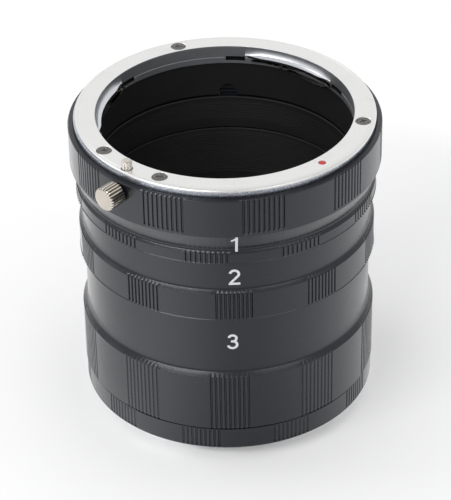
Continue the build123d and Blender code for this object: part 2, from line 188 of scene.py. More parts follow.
class Tree:
    """Writes nodes into a shader tree or a geometry tree."""

    def __init__(self, nodes: bpy.types.NodeTree) -> None:
        """Keep the tree that is written to."""
        self.nodes = nodes

    def node(
        self,
        kind: str,
        settings: dict[str, Any] | None = None,
        inputs: dict[int | str, Any] | None = None,
    ) -> bpy.types.Node:
        """Add a node.

        Args:
            kind: Blender's type of the node.
            settings: Properties, set before the sockets.
            inputs: Value or link of each socket, by its name or place.

        Returns:
            The new node.
        """
        made = self.nodes.nodes.new(kind)
        for name, value in (settings or {}).items():
            setattr(made, name, value)
        for key, value in (inputs or {}).items():
            self.feed(self.find(made.inputs, key), value)
        return made

    @staticmethod
    def find(sockets: Any, key: int | str) -> bpy.types.NodeSocket:
        """Find a socket.

        Args:
            sockets: Inputs or outputs of a node.
            key: Place of the socket, or its name among those in use.

        Returns:
            The socket.
        """
        if isinstance(key, int):
            return sockets[key]
        return next(socket for socket in sockets if socket.name == key and socket.enabled)

    def feed(self, socket: bpy.types.NodeSocket, value: Any) -> None:
        """Link a socket, or set its value.

        Args:
            socket: Input of a node.
            value: Number, socket or plain value that it gets.
        """
        if isinstance(value, Number):
            value = value.socket
        if isinstance(value, bpy.types.NodeSocket):
            self.nodes.links.new(value, socket)
        else:
            socket.default_value = value

    def number(self, node: bpy.types.Node, output: int | str = 0) -> Number:
        """A node's output as a number."""
        return Number(self, self.find(node.outputs, output))

    def blend(self, share: Any, first: Any, second: Any) -> bpy.types.NodeSocket:
        """Mix two colours.

        Args:
            share: Share of the second colour, from 0 to 1.
            first: Colour at 0.
            second: Colour at 1.

        Returns:
            The mixed colour.
        """
        mix = self.node("ShaderNodeMix", {"data_type": "RGBA"}, {"Factor": share})
        self.feed(self.find(mix.inputs, "A"), first)
        self.feed(self.find(mix.inputs, "B"), second)
        return self.find(mix.outputs, "Result")

    def combine(self, x: Any, y: Any, z: Any) -> bpy.types.NodeSocket:
        """Vector from three numbers."""
        return self.node("ShaderNodeCombineXYZ", {}, {0: x, 1: y, 2: z}).outputs[0]

    def parts(self, vector: Any) -> tuple[Number, Number, Number]:
        """The three numbers of a vector."""
        node = self.node("ShaderNodeSeparateXYZ", {}, {0: vector})
        return self.number(node, 0), self.number(node, 1), self.number(node, 2)

    def attribute(self, name: str) -> bpy.types.NodeSocket:
        """Value of a mesh attribute in a shader tree."""
        return self.node("ShaderNodeAttribute", {"attribute_name": name}).outputs["Fac"]

    def through(
        self,
        kind: str,
        geometry: Any,
        inputs: dict[int | str, Any] | None = None,
        settings: dict[str, Any] | None = None,
    ) -> bpy.types.NodeSocket:
        """Pass a geometry through one node.

        Args:
            kind: Blender's type of the node.
            geometry: The geometry that goes in.
            inputs: Value or link of each other socket.
            settings: Properties of the node.

        Returns:
            The geometry that comes out.
        """
        return self.node(kind, settings, {"Geometry": geometry, **(inputs or {})}).outputs[0]

    def close(self, kind: str, surface: bpy.types.NodeSocket) -> None:
        """Add a shader tree's output node and feed its surface."""
        self.feed(self.node(kind).inputs["Surface"], surface)


def cleared_tree(owner: bpy.types.Material | bpy.types.World) -> Tree:
    """Empty the shader tree of a new material or world.

    Args:
        owner: The material or world.

    Returns:
        Its tree, ready to write to.
    """
    owner.use_nodes = True
    owner.node_tree.nodes.clear()
    return Tree(owner.node_tree)


def axis_distance(x: Number, y: Number) -> Number:
    """Distance of a position from the Z axis."""
    return (x * x + y * y) ** 0.5


# Finishes


def rgb(red: float, green: float, blue: float) -> Colour:
    """Colour with full alpha."""
    return (red, green, blue, 1.0)


def scaled(colour: Colour, factor: float) -> Colour:
    """Colour made brighter or darker by a factor."""
    return rgb(*(factor * part for part in colour[:3]))


@dataclass(frozen=True)
class Finish:
    """A surface finish: its colour, gloss and the marks that give it scale."""

    name: str
    colour: Colour
    roughness: float
    metallic: float = 0.0
    specular: float = 0.5
    tint: Colour = rgb(1.0, 1.0, 1.0)
    sheen: float = 0.0
    sheen_roughness: float = 0.5

    def material(self) -> bpy.types.Material:
        """Make the material, or find it if it has been made.

        Returns:
            The material.
        """
        known = bpy.data.materials.get(self.name)
        if known:
            return known
        made = bpy.data.materials.new(self.name)
        tree = cleared_tree(made)
        surface = tree.node(
            "ShaderNodeBsdfPrincipled",
            {},
            {
                "Base Color": self.colour,
                "Roughness": self.roughness,
                "Metallic": self.metallic,
                "Specular IOR Level": self.specular,
                "Specular Tint": self.tint,
                "Sheen Weight": self.sheen,
                "Sheen Roughness": self.sheen_roughness,
            },
        )
        tree.close("ShaderNodeOutputMaterial", surface.outputs[0])
        self.dress(tree, surface)
        return made

    def dress(self, tree: Tree, surface: bpy.types.Node) -> None:
        """Add the finish's own marks to the plain surface."""

    @staticmethod
    def place(tree: Tree) -> bpy.types.NodeSocket:
        """Position in the part's own frame, in metres."""
        return tree.node("ShaderNodeTexCoord").outputs["Object"]

    @staticmethod
    def noise(tree: Tree, vector: Any, size: float, detail: float = 2.0) -> Number:
        """Soft noise around a half, from its spots' width in millimetres and its finer layers."""
        inputs = {"Vector": vector, "Scale": 1 / (size * MM), "Detail": detail}
        return tree.number(tree.node("ShaderNodeTexNoise", {}, inputs), "Fac")

    @staticmethod
    def vary(
        tree: Tree,
        surface: bpy.types.Node,
        colour: Any,
        roughness: Number,
        height: Number,
        depth: float,
    ) -> None:
        """Give the surface what changes over it.

        Args:
            tree: Tree to write to.
            surface: The plain surface.
            colour: Its colour.
            roughness: Its roughness.
            height: Height of its relief, from 0 to 1.
            depth: Depth of the relief in millimetres.
        """
        tree.feed(surface.inputs["Base Color"], colour)
        tree.feed(surface.inputs["Roughness"], roughness)
        inputs = {"Height": height, "Distance": depth * MM, "Strength": 1.0}
        tree.feed(surface.inputs["Normal"], tree.node("ShaderNodeBump", {}, inputs).outputs[0])


@dataclass(frozen=True)
class Anodised(Finish):
    """Satin black anodised aluminium: a fine blasted grain, faint turning lines, dust and a painted
    highlight on the grip ridges.
    """

    grain: float = 0.05
    grain_height: float = 0.8
    relief: float = 0.0018
    line_pitch: float = 0.09
    line_height: float = 0.12
    line_gloss: float = 0.06
    cloud_size: float = 9.0
    cloud_gloss: float = 0.14
    cloud_brightness: float = 1.35
    dust_spacing: float = 1.7
    dust_width: float = 0.045
    dust_share: float = 0.16
    dust_cover: float = 0.8
    dust_colour: Colour = rgb(0.3, 0.3, 0.31)
    # Lighter colour of the ridge tops: a painted highlight
    ridge_highlight_colour: Colour = rgb(0.013, 0.014, 0.017)

    def dress(self, tree: Tree, surface: bpy.types.Node) -> None:
        """Add cloudy wear, dust specks, grain, turning lines and the painted highlight on the ridges.

        Args:
            tree: Tree to write to.
            surface: The plain surface.
        """
        place = self.place(tree)
        x, y, z = tree.parts(place)
        clouds = self.noise(tree, place, self.cloud_size, 3.0)
        lines = self.noise(tree, tree.combine(axis_distance(x, y), 0.0, z), self.line_pitch, 1.0)
        grain = self.noise(tree, place, self.grain)
        inputs = {"Vector": place, "Scale": 1 / (self.dust_spacing * MM)}
        speck = tree.node("ShaderNodeTexVoronoi", {}, inputs)
        chance, width, _ = tree.parts(speck.outputs["Color"])
        in_speck = tree.number(speck, "Distance") < width * self.dust_width
        dust = in_speck * (chance < self.dust_share)
        worn = tree.blend(clouds, self.colour, scaled(self.colour, self.cloud_brightness))
        # Ridge tops are lightened here: painted highlight
        rubbed = tree.blend(tree.attribute(RIDGE_HIGHLIGHT), worn, self.ridge_highlight_colour)
        self.vary(
            tree,
            surface,
            tree.blend(dust * self.dust_cover, rubbed, self.dust_colour),
            self.roughness + clouds.swing(self.cloud_gloss) + lines.swing(self.line_gloss),
            grain * self.grain_height + lines * self.line_height + dust,
            self.relief,
        )


@dataclass(frozen=True)
class Silver(Finish):
    """Satin chrome plate, turned: fine rings, a soft mottle and a few faint stains."""

    ring_pitch: float = 0.06
    ring_height: float = 0.6
    ring_gloss: float = 0.1
    relief: float = 0.0012
    mottle_size: float = 0.35
    mottle_height: float = 0.4
    mottle_gloss: float = 0.16
    throat: float = 27.1
    wall_dullness: float = 0.14
    lug_radius: float = 26.6
    lug_polish: float = 0.2
    # Darker, bluish colour inside the throat: painted shade
    throat_shade_colour: Colour = rgb(0.62, 0.635, 0.665)
    stain_size: float = 6.0
    stain_start: float = 0.56
    stain_gain: float = 5.0
    stain_break: float = 0.55
    stain_share: float = 0.35
    stain_dullness: float = 0.3
    stain_colour: Colour = rgb(0.5, 0.49, 0.46)

    def dress(self, tree: Tree, surface: bpy.types.Node) -> None:
        """Add rings, mottle and stains; inside the throat, paint a darker bluish shade, dull the
        walls and polish the lugs.

        Args:
            tree: Tree to write to.
            surface: The plain surface.
        """
        place = self.place(tree)
        x, y, z = tree.parts(place)
        around = axis_distance(x, y)
        rings = self.noise(tree, tree.combine(around, 0.0, z), self.ring_pitch)
        mottle = self.noise(tree, place, self.mottle_size, 3.0)
        clouds = self.noise(tree, place, self.stain_size)
        broken = mottle > self.stain_break
        stain = clouds.above(self.stain_start, self.stain_gain) * broken * self.stain_share
        in_throat = around < self.throat * MM
        on_lug = around < self.lug_radius * MM
        # Inside the throat the colour turns to the painted shade
        plain = tree.blend(in_throat, self.colour, self.throat_shade_colour)
        gloss = self.roughness + in_throat * self.wall_dullness - on_lug * self.lug_polish
        marks = mottle.swing(self.mottle_gloss) + rings.swing(self.ring_gloss)
        self.vary(
            tree,
            surface,
            tree.blend(stain, self.rolled(tree, place, plain), self.stain_colour),
            gloss + marks + stain * self.stain_dullness,
            rings * self.ring_height + mottle * self.mottle_height,
            self.relief,
        )

    def rolled(self, tree: Tree, place: Any, plain: Any) -> Any:
        """Colour after the painted shade under the rim; a plain plate has none."""
        return plain


@dataclass(frozen=True)
class RolledSilver(Silver):
    """Satin chrome with a rolled rim, painted dark and speckled under its edge: painted shade."""

    rim_radius: float = 31.2
    rim_height: float = 64.54
    rim_rise: float = 0.4
    rise_start: float = 0.45
    rise_span: float = 0.4
    rim_fade: float = 0.2
    rim_cover: float = 0.92
    # Dark blue-grey under the rolled edge: painted shade
    rim_shade_colour: Colour = rgb(0.12, 0.135, 0.165)
    speckle_size: float = 0.16
    speckle_start: float = 0.52
    speckle_gain: float = 6.0
    speckle_colour: Colour = rgb(0.62, 0.66, 0.72)

    def rolled(self, tree: Tree, place: Any, plain: Any) -> Any:
        """Painted shade, dark and speckled, under the rolled edge, which rises towards the left.

        Args:
            tree: Tree to write to.
            place: Position in the part's frame.
            plain: Colour elsewhere.

        Returns:
            The colour.
        """
        x, y, z = tree.parts(place)
        around = axis_distance(x, y)
        left = ((x / around + self.rise_start) / -self.rise_span).clamped()
        height = (left * self.rim_rise + self.rim_height) * MM
        under = ((height - z) / (self.rim_fade * MM)).clamped()
        outside = around > self.rim_radius * MM
        grit = self.noise(tree, place, self.speckle_size)
        speckle = grit.above(self.speckle_start, self.speckle_gain)
        dark = tree.blend(speckle, self.rim_shade_colour, self.speckle_colour)
        # The painted shade covers the outside below the rising height
        return tree.blend(under * outside * self.rim_cover, plain, dark)


@dataclass(frozen=True)
class Bright(Finish):
    """Bright metal, such as nickel, brass or spring steel, with fine scuffs, dull spots and painted
    shade in its flutes.
    """

    tarnish: Colour = rgb(0.35, 0.3, 0.24)
    tarnish_size: float = 0.5
    tarnish_gain: float = 3.0
    tarnish_share: float = 0.3
    tarnish_dullness: float = 0.3
    scuff: float = 0.12
    scuff_gloss: float = 0.1
    relief: float = 0.0015
    # Colour of the flute floors: painted shade
    grime: Colour = rgb(0.2, 0.16, 0.12)

    def worn(self, tree: Tree, place: Any, dull: Number) -> bpy.types.NodeSocket:
        """Colour with its dull spots, and painted shade, a dark brown, on the floors of its flutes.
        """
        spotted = tree.blend(dull, self.colour, self.tarnish)
        return tree.blend(tree.attribute(GROOVE_SHADE), spotted, self.grime)

    def dress(self, tree: Tree, surface: bpy.types.Node) -> None:
        """Add scuffs and dull spots.

        Args:
            tree: Tree to write to.
            surface: The plain surface.
        """
        place = self.place(tree)
        spots = self.noise(tree, place, self.tarnish_size, 3.0)
        fine = self.noise(tree, place, self.scuff)
        dull = spots.above(0.5, self.tarnish_gain) * self.tarnish_share
        roughness = self.roughness + dull * self.tarnish_dullness + fine.swing(self.scuff_gloss)
        self.vary(tree, surface, self.worn(tree, place, dull), roughness, fine, self.relief)


@dataclass(frozen=True)
class Sheared(Bright):
    """Spring strip with a bright sheared inner edge; its faces are painted dark brown, a painted
    reflection of the dark throat wall around them.
    """

    # Dark brown of the faces: a painted reflection of the dark throat wall
    face_painted_reflection: Colour = rgb(0.014, 0.011, 0.008)
    edge_radius: float = 26.04

    def worn(self, tree: Tree, place: Any, dull: Number) -> bpy.types.NodeSocket:
        """Bright colour on the inner edge and the painted dark reflection elsewhere.

        Args:
            tree: Tree to write to.
            place: Position in the part's frame.
            dull: Share of tarnish.

        Returns:
            The colour.
        """
        x, y, _ = tree.parts(place)
        face = axis_distance(x, y) > self.edge_radius * MM
        return tree.blend(face, super().worn(tree, place, dull), self.face_painted_reflection)


@dataclass(frozen=True)
class Blackened(Finish):
    """Blackened steel screw heads, rubbed and dusty."""

    rubbed: Colour = rgb(0.4, 0.38, 0.36)
    rub_start: float = 0.45
    rub_gain: float = 3.0
    grime_size: float = 0.28
    grime_gloss: float = 0.3
    relief: float = 0.02

    def dress(self, tree: Tree, surface: bpy.types.Node) -> None:
        """Add rubbed spots and grime.

        Args:
            tree: Tree to write to.
            surface: The plain surface.
        """
        grime = self.noise(tree, self.place(tree), self.grime_size, 3.0)
        rub = grime.above(self.rub_start, self.rub_gain)
        colour = tree.blend(rub, self.colour, self.rubbed)
        roughness = self.roughness + grime.swing(self.grime_gloss)
        self.vary(tree, surface, colour, roughness, grime, self.relief)


@dataclass(frozen=True)
class Paint(Finish):
    """Paint filled into a mark, a little uneven."""

    mark_size: float = 0.3
    mark_gloss: float = 0.2
    thin_brightness: float = 0.8
    relief: float = 0.006

    def dress(self, tree: Tree, surface: bpy.types.Node) -> None:
        """Add brush marks and thin spots.

        Args:
            tree: Tree to write to.
            surface: The plain surface.
        """
        marks = self.noise(tree, self.place(tree), self.mark_size, 3.0)
        colour = tree.blend(marks, self.colour, scaled(self.colour, self.thin_brightness))
        roughness = self.roughness + marks.swing(self.mark_gloss)
        self.vary(tree, surface, colour, roughness, marks, self.relief)


BLACK_SHELL = Anodised(
    "black_shell", rgb(0.003, 0.0036, 0.0056), 0.28, tint=rgb(0.9, 0.94, 1.0), sheen=0.03
)
BLACK_BORE = Anodised("black_bore", rgb(0.012, 0.012, 0.0125), 0.5, specular=0.25, dust_share=0.1)
SATIN_SILVER = Silver("satin_chrome", rgb(0.78, 0.78, 0.77), 0.3, 1.0)
ROLLED_SILVER = RolledSilver("rolled_chrome", rgb(0.77, 0.77, 0.76), 0.3, 1.0)
BRIGHT_NICKEL = Bright("bright_nickel", rgb(0.6, 0.57, 0.52), 0.17, 1.0)
BRIGHT_STEEL = Bright("bright_spring_steel", rgb(0.74, 0.71, 0.65), 0.22, 1.0)
SHEARED_STEEL = Sheared("sheared_spring_steel", rgb(0.85, 0.8, 0.72), 0.26, 1.0)
BRIGHT_BRASS = Bright("bright_brass", rgb(0.8, 0.66, 0.42), 0.22, 1.0)
DARK_SCREW = Blackened("blackened_screw", rgb(0.07, 0.067, 0.063), 0.42, 0.6)
RED_ENAMEL = Paint("red_enamel", rgb(0.55, 0.03, 0.03), 0.4)
WHITE_ENAMEL = Paint("white_enamel", rgb(0.74, 0.74, 0.75), 0.5)


# Meshes


UP = Vector((0.0, 0.0, 1.0))
# Metres below which points are merged and edges dropped
MERGE = 1e-7
SPECK = 1e-8
# Distance of a holding point from its corner, and the side that it needs, in roundings
HOLD_REACH = 1.6
HOLD_SIDE = 4


def radial(azimuth: float) -> Vector:
    """Unit vector outwards at an azimuth."""
    angle = math.radians(azimuth)
    return Vector((math.sin(angle), -math.cos(angle), 0.0))


def spot(radius: float, azimuth: float, height: float) -> Vector:
    """Point at a radius, azimuth and height, in metres."""
    return (radial(azimuth) * radius + UP * height) * MM


def axes(x_axis: Vector, y_axis: Vector, z_axis: Vector, origin: Vector) -> Matrix:
    """Place with the given axes.

    Args:
        x_axis: Direction of its X.
        y_axis: Direction of its Y.
        z_axis: Direction of its Z.
        origin: Its origin in metres.

    Returns:
        The place.
    """
    place = Matrix((x_axis, y_axis, z_axis)).transposed().to_4x4()
    place.translation = origin
    return place


def standing(radius: float, azimuth: float, height: float) -> Matrix:
    """Place for a piece that stands along +Z, with its X outwards."""
    outwards = radial(azimuth)
    return axes(outwards, UP.cross(outwards), UP, spot(radius, azimuth, height))


def facing(radius: float, azimuth: float, height: float) -> Matrix:
    """Place for a piece whose Z points outwards and whose Y points up."""
    outwards = radial(azimuth)
    return axes(UP.cross(outwards), UP, outwards, spot(radius, azimuth, height))


def rounded(corners: Corners, steps: int = 3) -> Outline:
    """Round the corners of a closed outline, with a holding point on each long side beside one.

    Args:
        corners: Radius, height and, where the corner is rounded, how far back the rounding starts.
        steps: Straight pieces that make each rounding.

    Returns:
        The outline's points, in order.
    """
    points: Outline = []
    for place, corner in enumerate(corners):
        here = Vector(corner[:2])
        if len(corner) < 3:
            points.append(tuple(here))
            continue
        before = Vector(corners[place - 1][:2]) - here
        after = Vector(corners[(place + 1) % len(corners)][:2]) - here
        start = here + before.normalized() * corner[2]
        end = here + after.normalized() * corner[2]
        if before.length > HOLD_SIDE * corner[2]:
            points.append(tuple(here + before.normalized() * corner[2] * HOLD_REACH))
        for step in range(steps + 1):
            share = step / steps
            points.append(tuple(start.lerp(here, share).lerp(here.lerp(end, share), share)))
        if after.length > HOLD_SIDE * corner[2]:
            points.append(tuple(here + after.normalized() * corner[2] * HOLD_REACH))
    return points


def new_object(name: str, data: bpy.types.ID) -> bpy.types.Object:
    """Put a mesh, camera or lamp into the scene as an object.

    Args:
        name: Name of the object.
        data: What it shows.

    Returns:
        The object.
    """
    made = bpy.data.objects.new(name, data)
    bpy.context.scene.collection.objects.link(made)
    return made


def smooth(mesh: bpy.types.Mesh) -> None:
    """Smooth all but the sharp edges."""
    mesh.shade_smooth()
    mesh.set_sharp_from_angle(angle=SMOOTH_ANGLE)


def tidy_mesh(mesh: bpy.types.Mesh) -> None:
    """Merge doubles, face the normals outwards and smooth all but the sharp edges.

    Args:
        mesh: The mesh.
    """
    shape = bmesh.new()
    shape.from_mesh(mesh)
    bmesh.ops.remove_doubles(shape, verts=shape.verts, dist=MERGE)
    bmesh.ops.dissolve_degenerate(shape, edges=shape.edges, dist=SPECK)
    bmesh.ops.recalc_face_normals(shape, faces=shape.faces)
    shape.to_mesh(mesh)
    shape.free()
    smooth(mesh)


def from_faces(
    name: str,
    points: Sequence[Sequence[float]],
    faces: Sequence[Sequence[int]],
    place: Matrix | None = None,
) -> bpy.types.Object:
    """Make an object from points in millimetres.

    Args:
        name: Name of the piece.
        points: Points in millimetres.
        faces: Corners of each face.
        place: Where the piece goes, in metres.

    Returns:
        The object.
    """
    mesh = bpy.data.meshes.new(name)
    mesh.from_pydata([Vector(point) * MM for point in points], [], faces)
    tidy_mesh(mesh)
    if place is not None:
        mesh.transform(place)
    return new_object(name, mesh)


def prism(
    name: str,
    first: Sequence[Sequence[float]],
    last: Sequence[Sequence[float]],
    place: Matrix | None = None,
) -> bpy.types.Object:
    """Join two outlines with as many points into a closed solid.

    Args:
        name: Name of the piece.
        first: Points of one end.
        last: Points of the other end.
        place: Where the piece goes, in metres.

    Returns:
        The object.
    """
    count = len(first)
    faces = [tuple(reversed(range(count))), tuple(range(count, 2 * count))]
    for low in range(count):
        high = (low + 1) % count
        faces.append((low, high, count + high, count + low))
    return from_faces(name, [*first, *last], faces, place)


def turned(
    name: str, outline: Outline, steps: int, place: Matrix | None = None
) -> bpy.types.Object:
    """Turn a closed outline around the Z axis.

    Args:
        name: Name of the piece.
        outline: Radius and height of each point; points on the axis close the piece.
        steps: Steps around.
        place: Where the piece goes, in metres.

    Returns:
        The object.
    """
    return ring_of_sections(name, [(360 * step / steps, outline) for step in range(steps)], place)


def ring_of_sections(
    name: str, sections: Sequence[tuple[float, Outline]], place: Matrix | None = None
) -> bpy.types.Object:
    """Join closed outlines at rising azimuths into a ring.

    Args:
        name: Name of the piece.
        sections: Azimuth and outline of each section, all with as many points.
        place: Where the piece goes, in metres.

    Returns:
        The object.
    """
    count = len(sections[0][1])
    points = []
    for azimuth, outline in sections:
        outwards = radial(azimuth)
        points += [(outwards.x * radius, outwards.y * radius, height) for radius, height in outline]
    faces = []
    for here in range(0, len(points), count):
        there = (here + count) % len(points)
        for low in range(count):
            high = (low + 1) % count
            faces.append((here + low, there + low, there + high, here + high))
    return from_faces(name, points, faces, place)


def evaluated(piece: bpy.types.Object) -> bpy.types.Object:
    """Turn a piece and its modifiers into a plain mesh, in place of the piece.

    Args:
        piece: The piece, which is removed.

    Returns:
        The plain object, under the same name.
    """
    bpy.context.view_layer.update()
    graph = bpy.context.evaluated_depsgraph_get()
    mesh = bpy.data.meshes.new_from_object(piece.evaluated_get(graph), depsgraph=graph)
    name = piece.name
    old = piece.data
    bpy.data.objects.remove(piece)
    bpy.data.meshes.remove(old)
    mesh.name = name
    return new_object(name, mesh)


def cut(piece: bpy.types.Object, cutters: Sequence[bpy.types.Object]) -> bpy.types.Object:
    """Take cutters out of a piece, and remove them.

    Args:
        piece: The piece.
        cutters: Closed solids; their finishes pass on to the walls that they cut.

    Returns:
        What is left of the piece.
    """
    for cutter in cutters:
        modifier = piece.modifiers.new("cut", "BOOLEAN")
        modifier.operation = "DIFFERENCE"
        modifier.solver = "EXACT"
        modifier.material_mode = "TRANSFER"
        modifier.object = cutter
    result = evaluated(piece)
    for cutter in cutters:
        bpy.data.objects.remove(cutter)
    smooth(result.data)
    return result


def dress(piece: bpy.types.Object, *finishes: Finish) -> bpy.types.Object:
    """Give a piece its finishes.

    Args:
        piece: The piece.
        finishes: Finishes in the order of its material slots.

    Returns:
        The piece.
    """
    piece.data.materials.clear()
    for finish in finishes:
        piece.data.materials.append(finish.material())
    return piece


def close_edges(mesh: bpy.types.Mesh) -> None:
    """Take out the edges that no face uses and fill the slivers that a cut leaves open.

    Args:
        mesh: The mesh.
    """
    shape = bmesh.new()
    shape.from_mesh(mesh)
    loose = [edge for edge in shape.edges if not edge.link_faces]
    bmesh.ops.delete(shape, geom=loose, context="EDGES")
    bmesh.ops.holes_fill(shape, edges=[edge for edge in shape.edges if edge.is_boundary], sides=3)
    shape.to_mesh(mesh)
    shape.free()


def hand_over(piece: bpy.types.Object, body: Body, replaced: Sequence[str]) -> None:
    """Let a piece ride on its body and hide the nodes it stands for.

    Args:
        piece: The finished piece.
        body: Body that it rides on.
        replaced: Nodes that it stands for.
    """
    close_edges(piece.data)
    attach(piece, body.value)
    if replaced:
        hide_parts(*replaced)
    triangles = sum(len(polygon.vertices) - 2 for polygon in piece.data.polygons)
    LOG.info("%s: %d triangles on %s", piece.name, triangles, body.value)


# Geometry node trees


@dataclass(frozen=True)
class Input:
    """A named input of a geometry tree."""

    name: str
    kind: str


def geometry_tree(
    name: str, inputs: Sequence[Input], write: Callable[[Tree, bpy.types.Node], bpy.types.NodeSocket]
) -> bpy.types.NodeTree:
    """Make a geometry tree, or find it if it has been made.

    Args:
        name: Name of the tree.
        inputs: Its inputs after the geometry.
        write: Writes the nodes, given the tree and its input node, and returns the geometry.

    Returns:
        The tree.
    """
    known = bpy.data.node_groups.get(name)
    if known:
        return known
    group = bpy.data.node_groups.new(name, "GeometryNodeTree")
    group.interface.new_socket("Geometry", in_out="INPUT", socket_type="NodeSocketGeometry")
    group.interface.new_socket("Geometry", in_out="OUTPUT", socket_type="NodeSocketGeometry")
    for item in inputs:
        group.interface.new_socket(item.name, in_out="INPUT", socket_type=item.kind)
    tree = Tree(group)
    entry = tree.node("NodeGroupInput")
    result = write(tree, entry)
    exit_node = tree.node("NodeGroupOutput")
    tree.feed(exit_node.inputs[0], result)
    return group


def named_inputs(kind: str, *names: str) -> tuple[Input, ...]:
    """Inputs of one kind."""
    return tuple(Input(name, kind) for name in names)


def run_tree(
    piece: bpy.types.Object, tree: bpy.types.NodeTree, values: dict[str, Any]
) -> bpy.types.Object:
    """Run a geometry tree on a piece and keep the result as a plain mesh.

    Args:
        piece: Object whose mesh goes in.
        tree: The geometry tree.
        values: Value of each named input.

    Returns:
        The plain object.
    """
    modifier = piece.modifiers.new(tree.name, "NODES")
    modifier.node_group = tree
    for item in tree.interface.items_tree:
        if item.in_out == "INPUT" and item.name in values:
            modifier[item.identifier] = values[item.name]
    return evaluated(piece)


GRIP_COUNTS = named_inputs("NodeSocketInt", "Patches", "Grooves", "Plain steps")
GRIP_GROOVE = named_inputs("NodeSocketFloat", "Pitch", "Half width", "Half floor", "Depth")
GRIP_BAND = named_inputs("NodeSocketFloat", "First azimuth", "Band radius", "Bottom", "Top")
GRIP_BORE = named_inputs("NodeSocketFloat", "Bore radius")
GRIP_FINISHES = named_inputs("NodeSocketMaterial", "Shell", "Bore")
GRIP_INPUTS = GRIP_COUNTS + GRIP_GROOVE + GRIP_BAND + GRIP_BORE + GRIP_FINISHES
GROOVE_COLUMNS = 4
# Metres below which the ring's seam is merged
SEAM = 2e-7
# Depth below the band's radius within which ridge points get the painted highlight, in millimetres
RIDGE_TOP_DEPTH = 0.05


def write_gripping_ring(tree: Tree, entry: bpy.types.Node) -> bpy.types.NodeSocket:
    """Turn the outline that comes in around the axis, with grooves in patches on its band.

    Each groove has four columns of points: its two edges and its floor's two sides. The plain
    wall between two patches has evenly spaced columns.

    Args:
        tree: Tree to write to.
        entry: Its input node.

    Returns:
        The ring's geometry.
    """

    def given(name: str) -> Number:
        """A named input."""
        return tree.number(entry, name)

    outline = entry.outputs["Geometry"]
    size = tree.node("GeometryNodeAttributeDomainSize", {}, {0: outline})
    count = tree.number(size, "Point Count")
    groove_points = given("Grooves") * GROOVE_COLUMNS
    columns = groove_points + given("Plain steps")
    grid_size = {"Vertices X": given("Patches") * columns + 1, "Vertices Y": count}
    grid = tree.node("GeometryNodeMeshGrid", {}, grid_size)
    here = tree.node("GeometryNodeInputPosition").outputs[0]
    station, along = tree.number(tree.node("GeometryNodeInputIndex")).split(count)
    sample = tree.node(
        "GeometryNodeSampleIndex",
        {"data_type": "FLOAT_VECTOR", "domain": "POINT"},
        {"Geometry": outline, "Value": here, "Index": along},
    )
    radius, _, height = tree.parts(tree.find(sample.outputs, "Value"))

    patch, column = station.split(columns)
    groove, corner = column.split(GROOVE_COLUMNS)
    across = corner - (GROOVE_COLUMNS - 1) / 2
    on_floor = (GROOVE_COLUMNS - 1) / 2 - abs(across)
    side = (across > 0.0) * 2.0 - 1.0
    reach = on_floor * given("Half floor") + (1.0 - on_floor) * given("Half width")
    in_groove = groove * given("Pitch") + side * reach / given("Band radius")
    patch_span = (given("Grooves") - 1.0) * given("Pitch")
    edge = given("Half width") / given("Band radius")
    plain_span = math.tau / given("Patches") - patch_span - edge * 2.0
    plain_share = (column - groove_points + 1.0) / (given("Plain steps") + 1.0)
    in_plain = patch_span + edge + plain_share * plain_span
    is_plain = column > groove_points - 0.5
    is_grooved = 1.0 - is_plain
    patch_start = given("First azimuth") + patch * (math.tau / given("Patches"))
    azimuth = patch_start + is_plain * in_plain + is_grooved * in_groove

    in_height = (height > given("Bottom")) * (height < given("Top"))
    depth = is_grooved * on_floor * in_height
    excess = (radius - given("Band radius") + given("Depth")).at_least(0.0)
    cut_radius = radius - depth * excess
    place = tree.combine(cut_radius * azimuth.sine(), cut_radius * azimuth.cosine() * -1.0, height)
    shaped = tree.through("GeometryNodeSetPosition", grid.outputs[0], {"Position": place})

    # Ridge tops are marked for the painted highlight
    between = (on_floor < 0.5) * (column > 0.5) * (column < groove_points - 1.5)
    on_ridge = is_grooved * between * (radius > given("Band radius") - RIDGE_TOP_DEPTH * MM)
    point_number = {"data_type": "FLOAT", "domain": "POINT"}
    marked = shaped
    # Groove floors are marked for painted shade
    for name, value in ((RIDGE_HIGHLIGHT, on_ridge), (GROOVE_SHADE, depth)):
        inputs = {"Name": name, "Value": value}
        marked = tree.through("GeometryNodeStoreNamedAttribute", marked, inputs, point_number)
    merged = tree.through("GeometryNodeMergeByDistance", marked, {"Distance": SEAM})
    real = tree.through("GeometryNodeRealizeInstances", merged)
    shell = tree.through("GeometryNodeSetMaterial", real, {"Material": entry.outputs["Shell"]})
    x, y, _ = tree.parts(here)
    inside = axis_distance(x, y) < given("Bore radius")
    bore = {"Selection": inside, "Material": entry.outputs["Bore"]}
    return tree.through("GeometryNodeSetMaterial", shell, bore)


COPY_INPUTS = (Input("Piece", "NodeSocketObject"), Input("Finish", "NodeSocketMaterial"))


def write_copies(tree: Tree, entry: bpy.types.Node) -> bpy.types.NodeSocket:
    """Put a copy of one piece on every point that comes in, turned by the point's own angle.

    Args:
        tree: Tree to write to.
        entry: Its input node.

    Returns:
        The copies' geometry.
    """
    source = tree.node("GeometryNodeObjectInfo", {}, {"Object": entry.outputs["Piece"]})
    angle = tree.node("GeometryNodeInputNamedAttribute", {"data_type": "FLOAT"}, {"Name": "turn"})
    spin = {"Axis": UP, "Angle": tree.find(angle.outputs, "Attribute")}
    turn = tree.node("FunctionNodeAxisAngleToRotation", {}, spin)
    inputs = {
        "Points": entry.outputs["Geometry"],
        "Instance": source.outputs["Geometry"],
        "Rotation": turn.outputs[0],
    }
    copies = tree.node("GeometryNodeInstanceOnPoints", {}, inputs).outputs[0]
    real = tree.through("GeometryNodeRealizeInstances", copies)
    return tree.through("GeometryNodeSetMaterial", real, {"Material": entry.outputs["Finish"]})


# Sub-assemblies


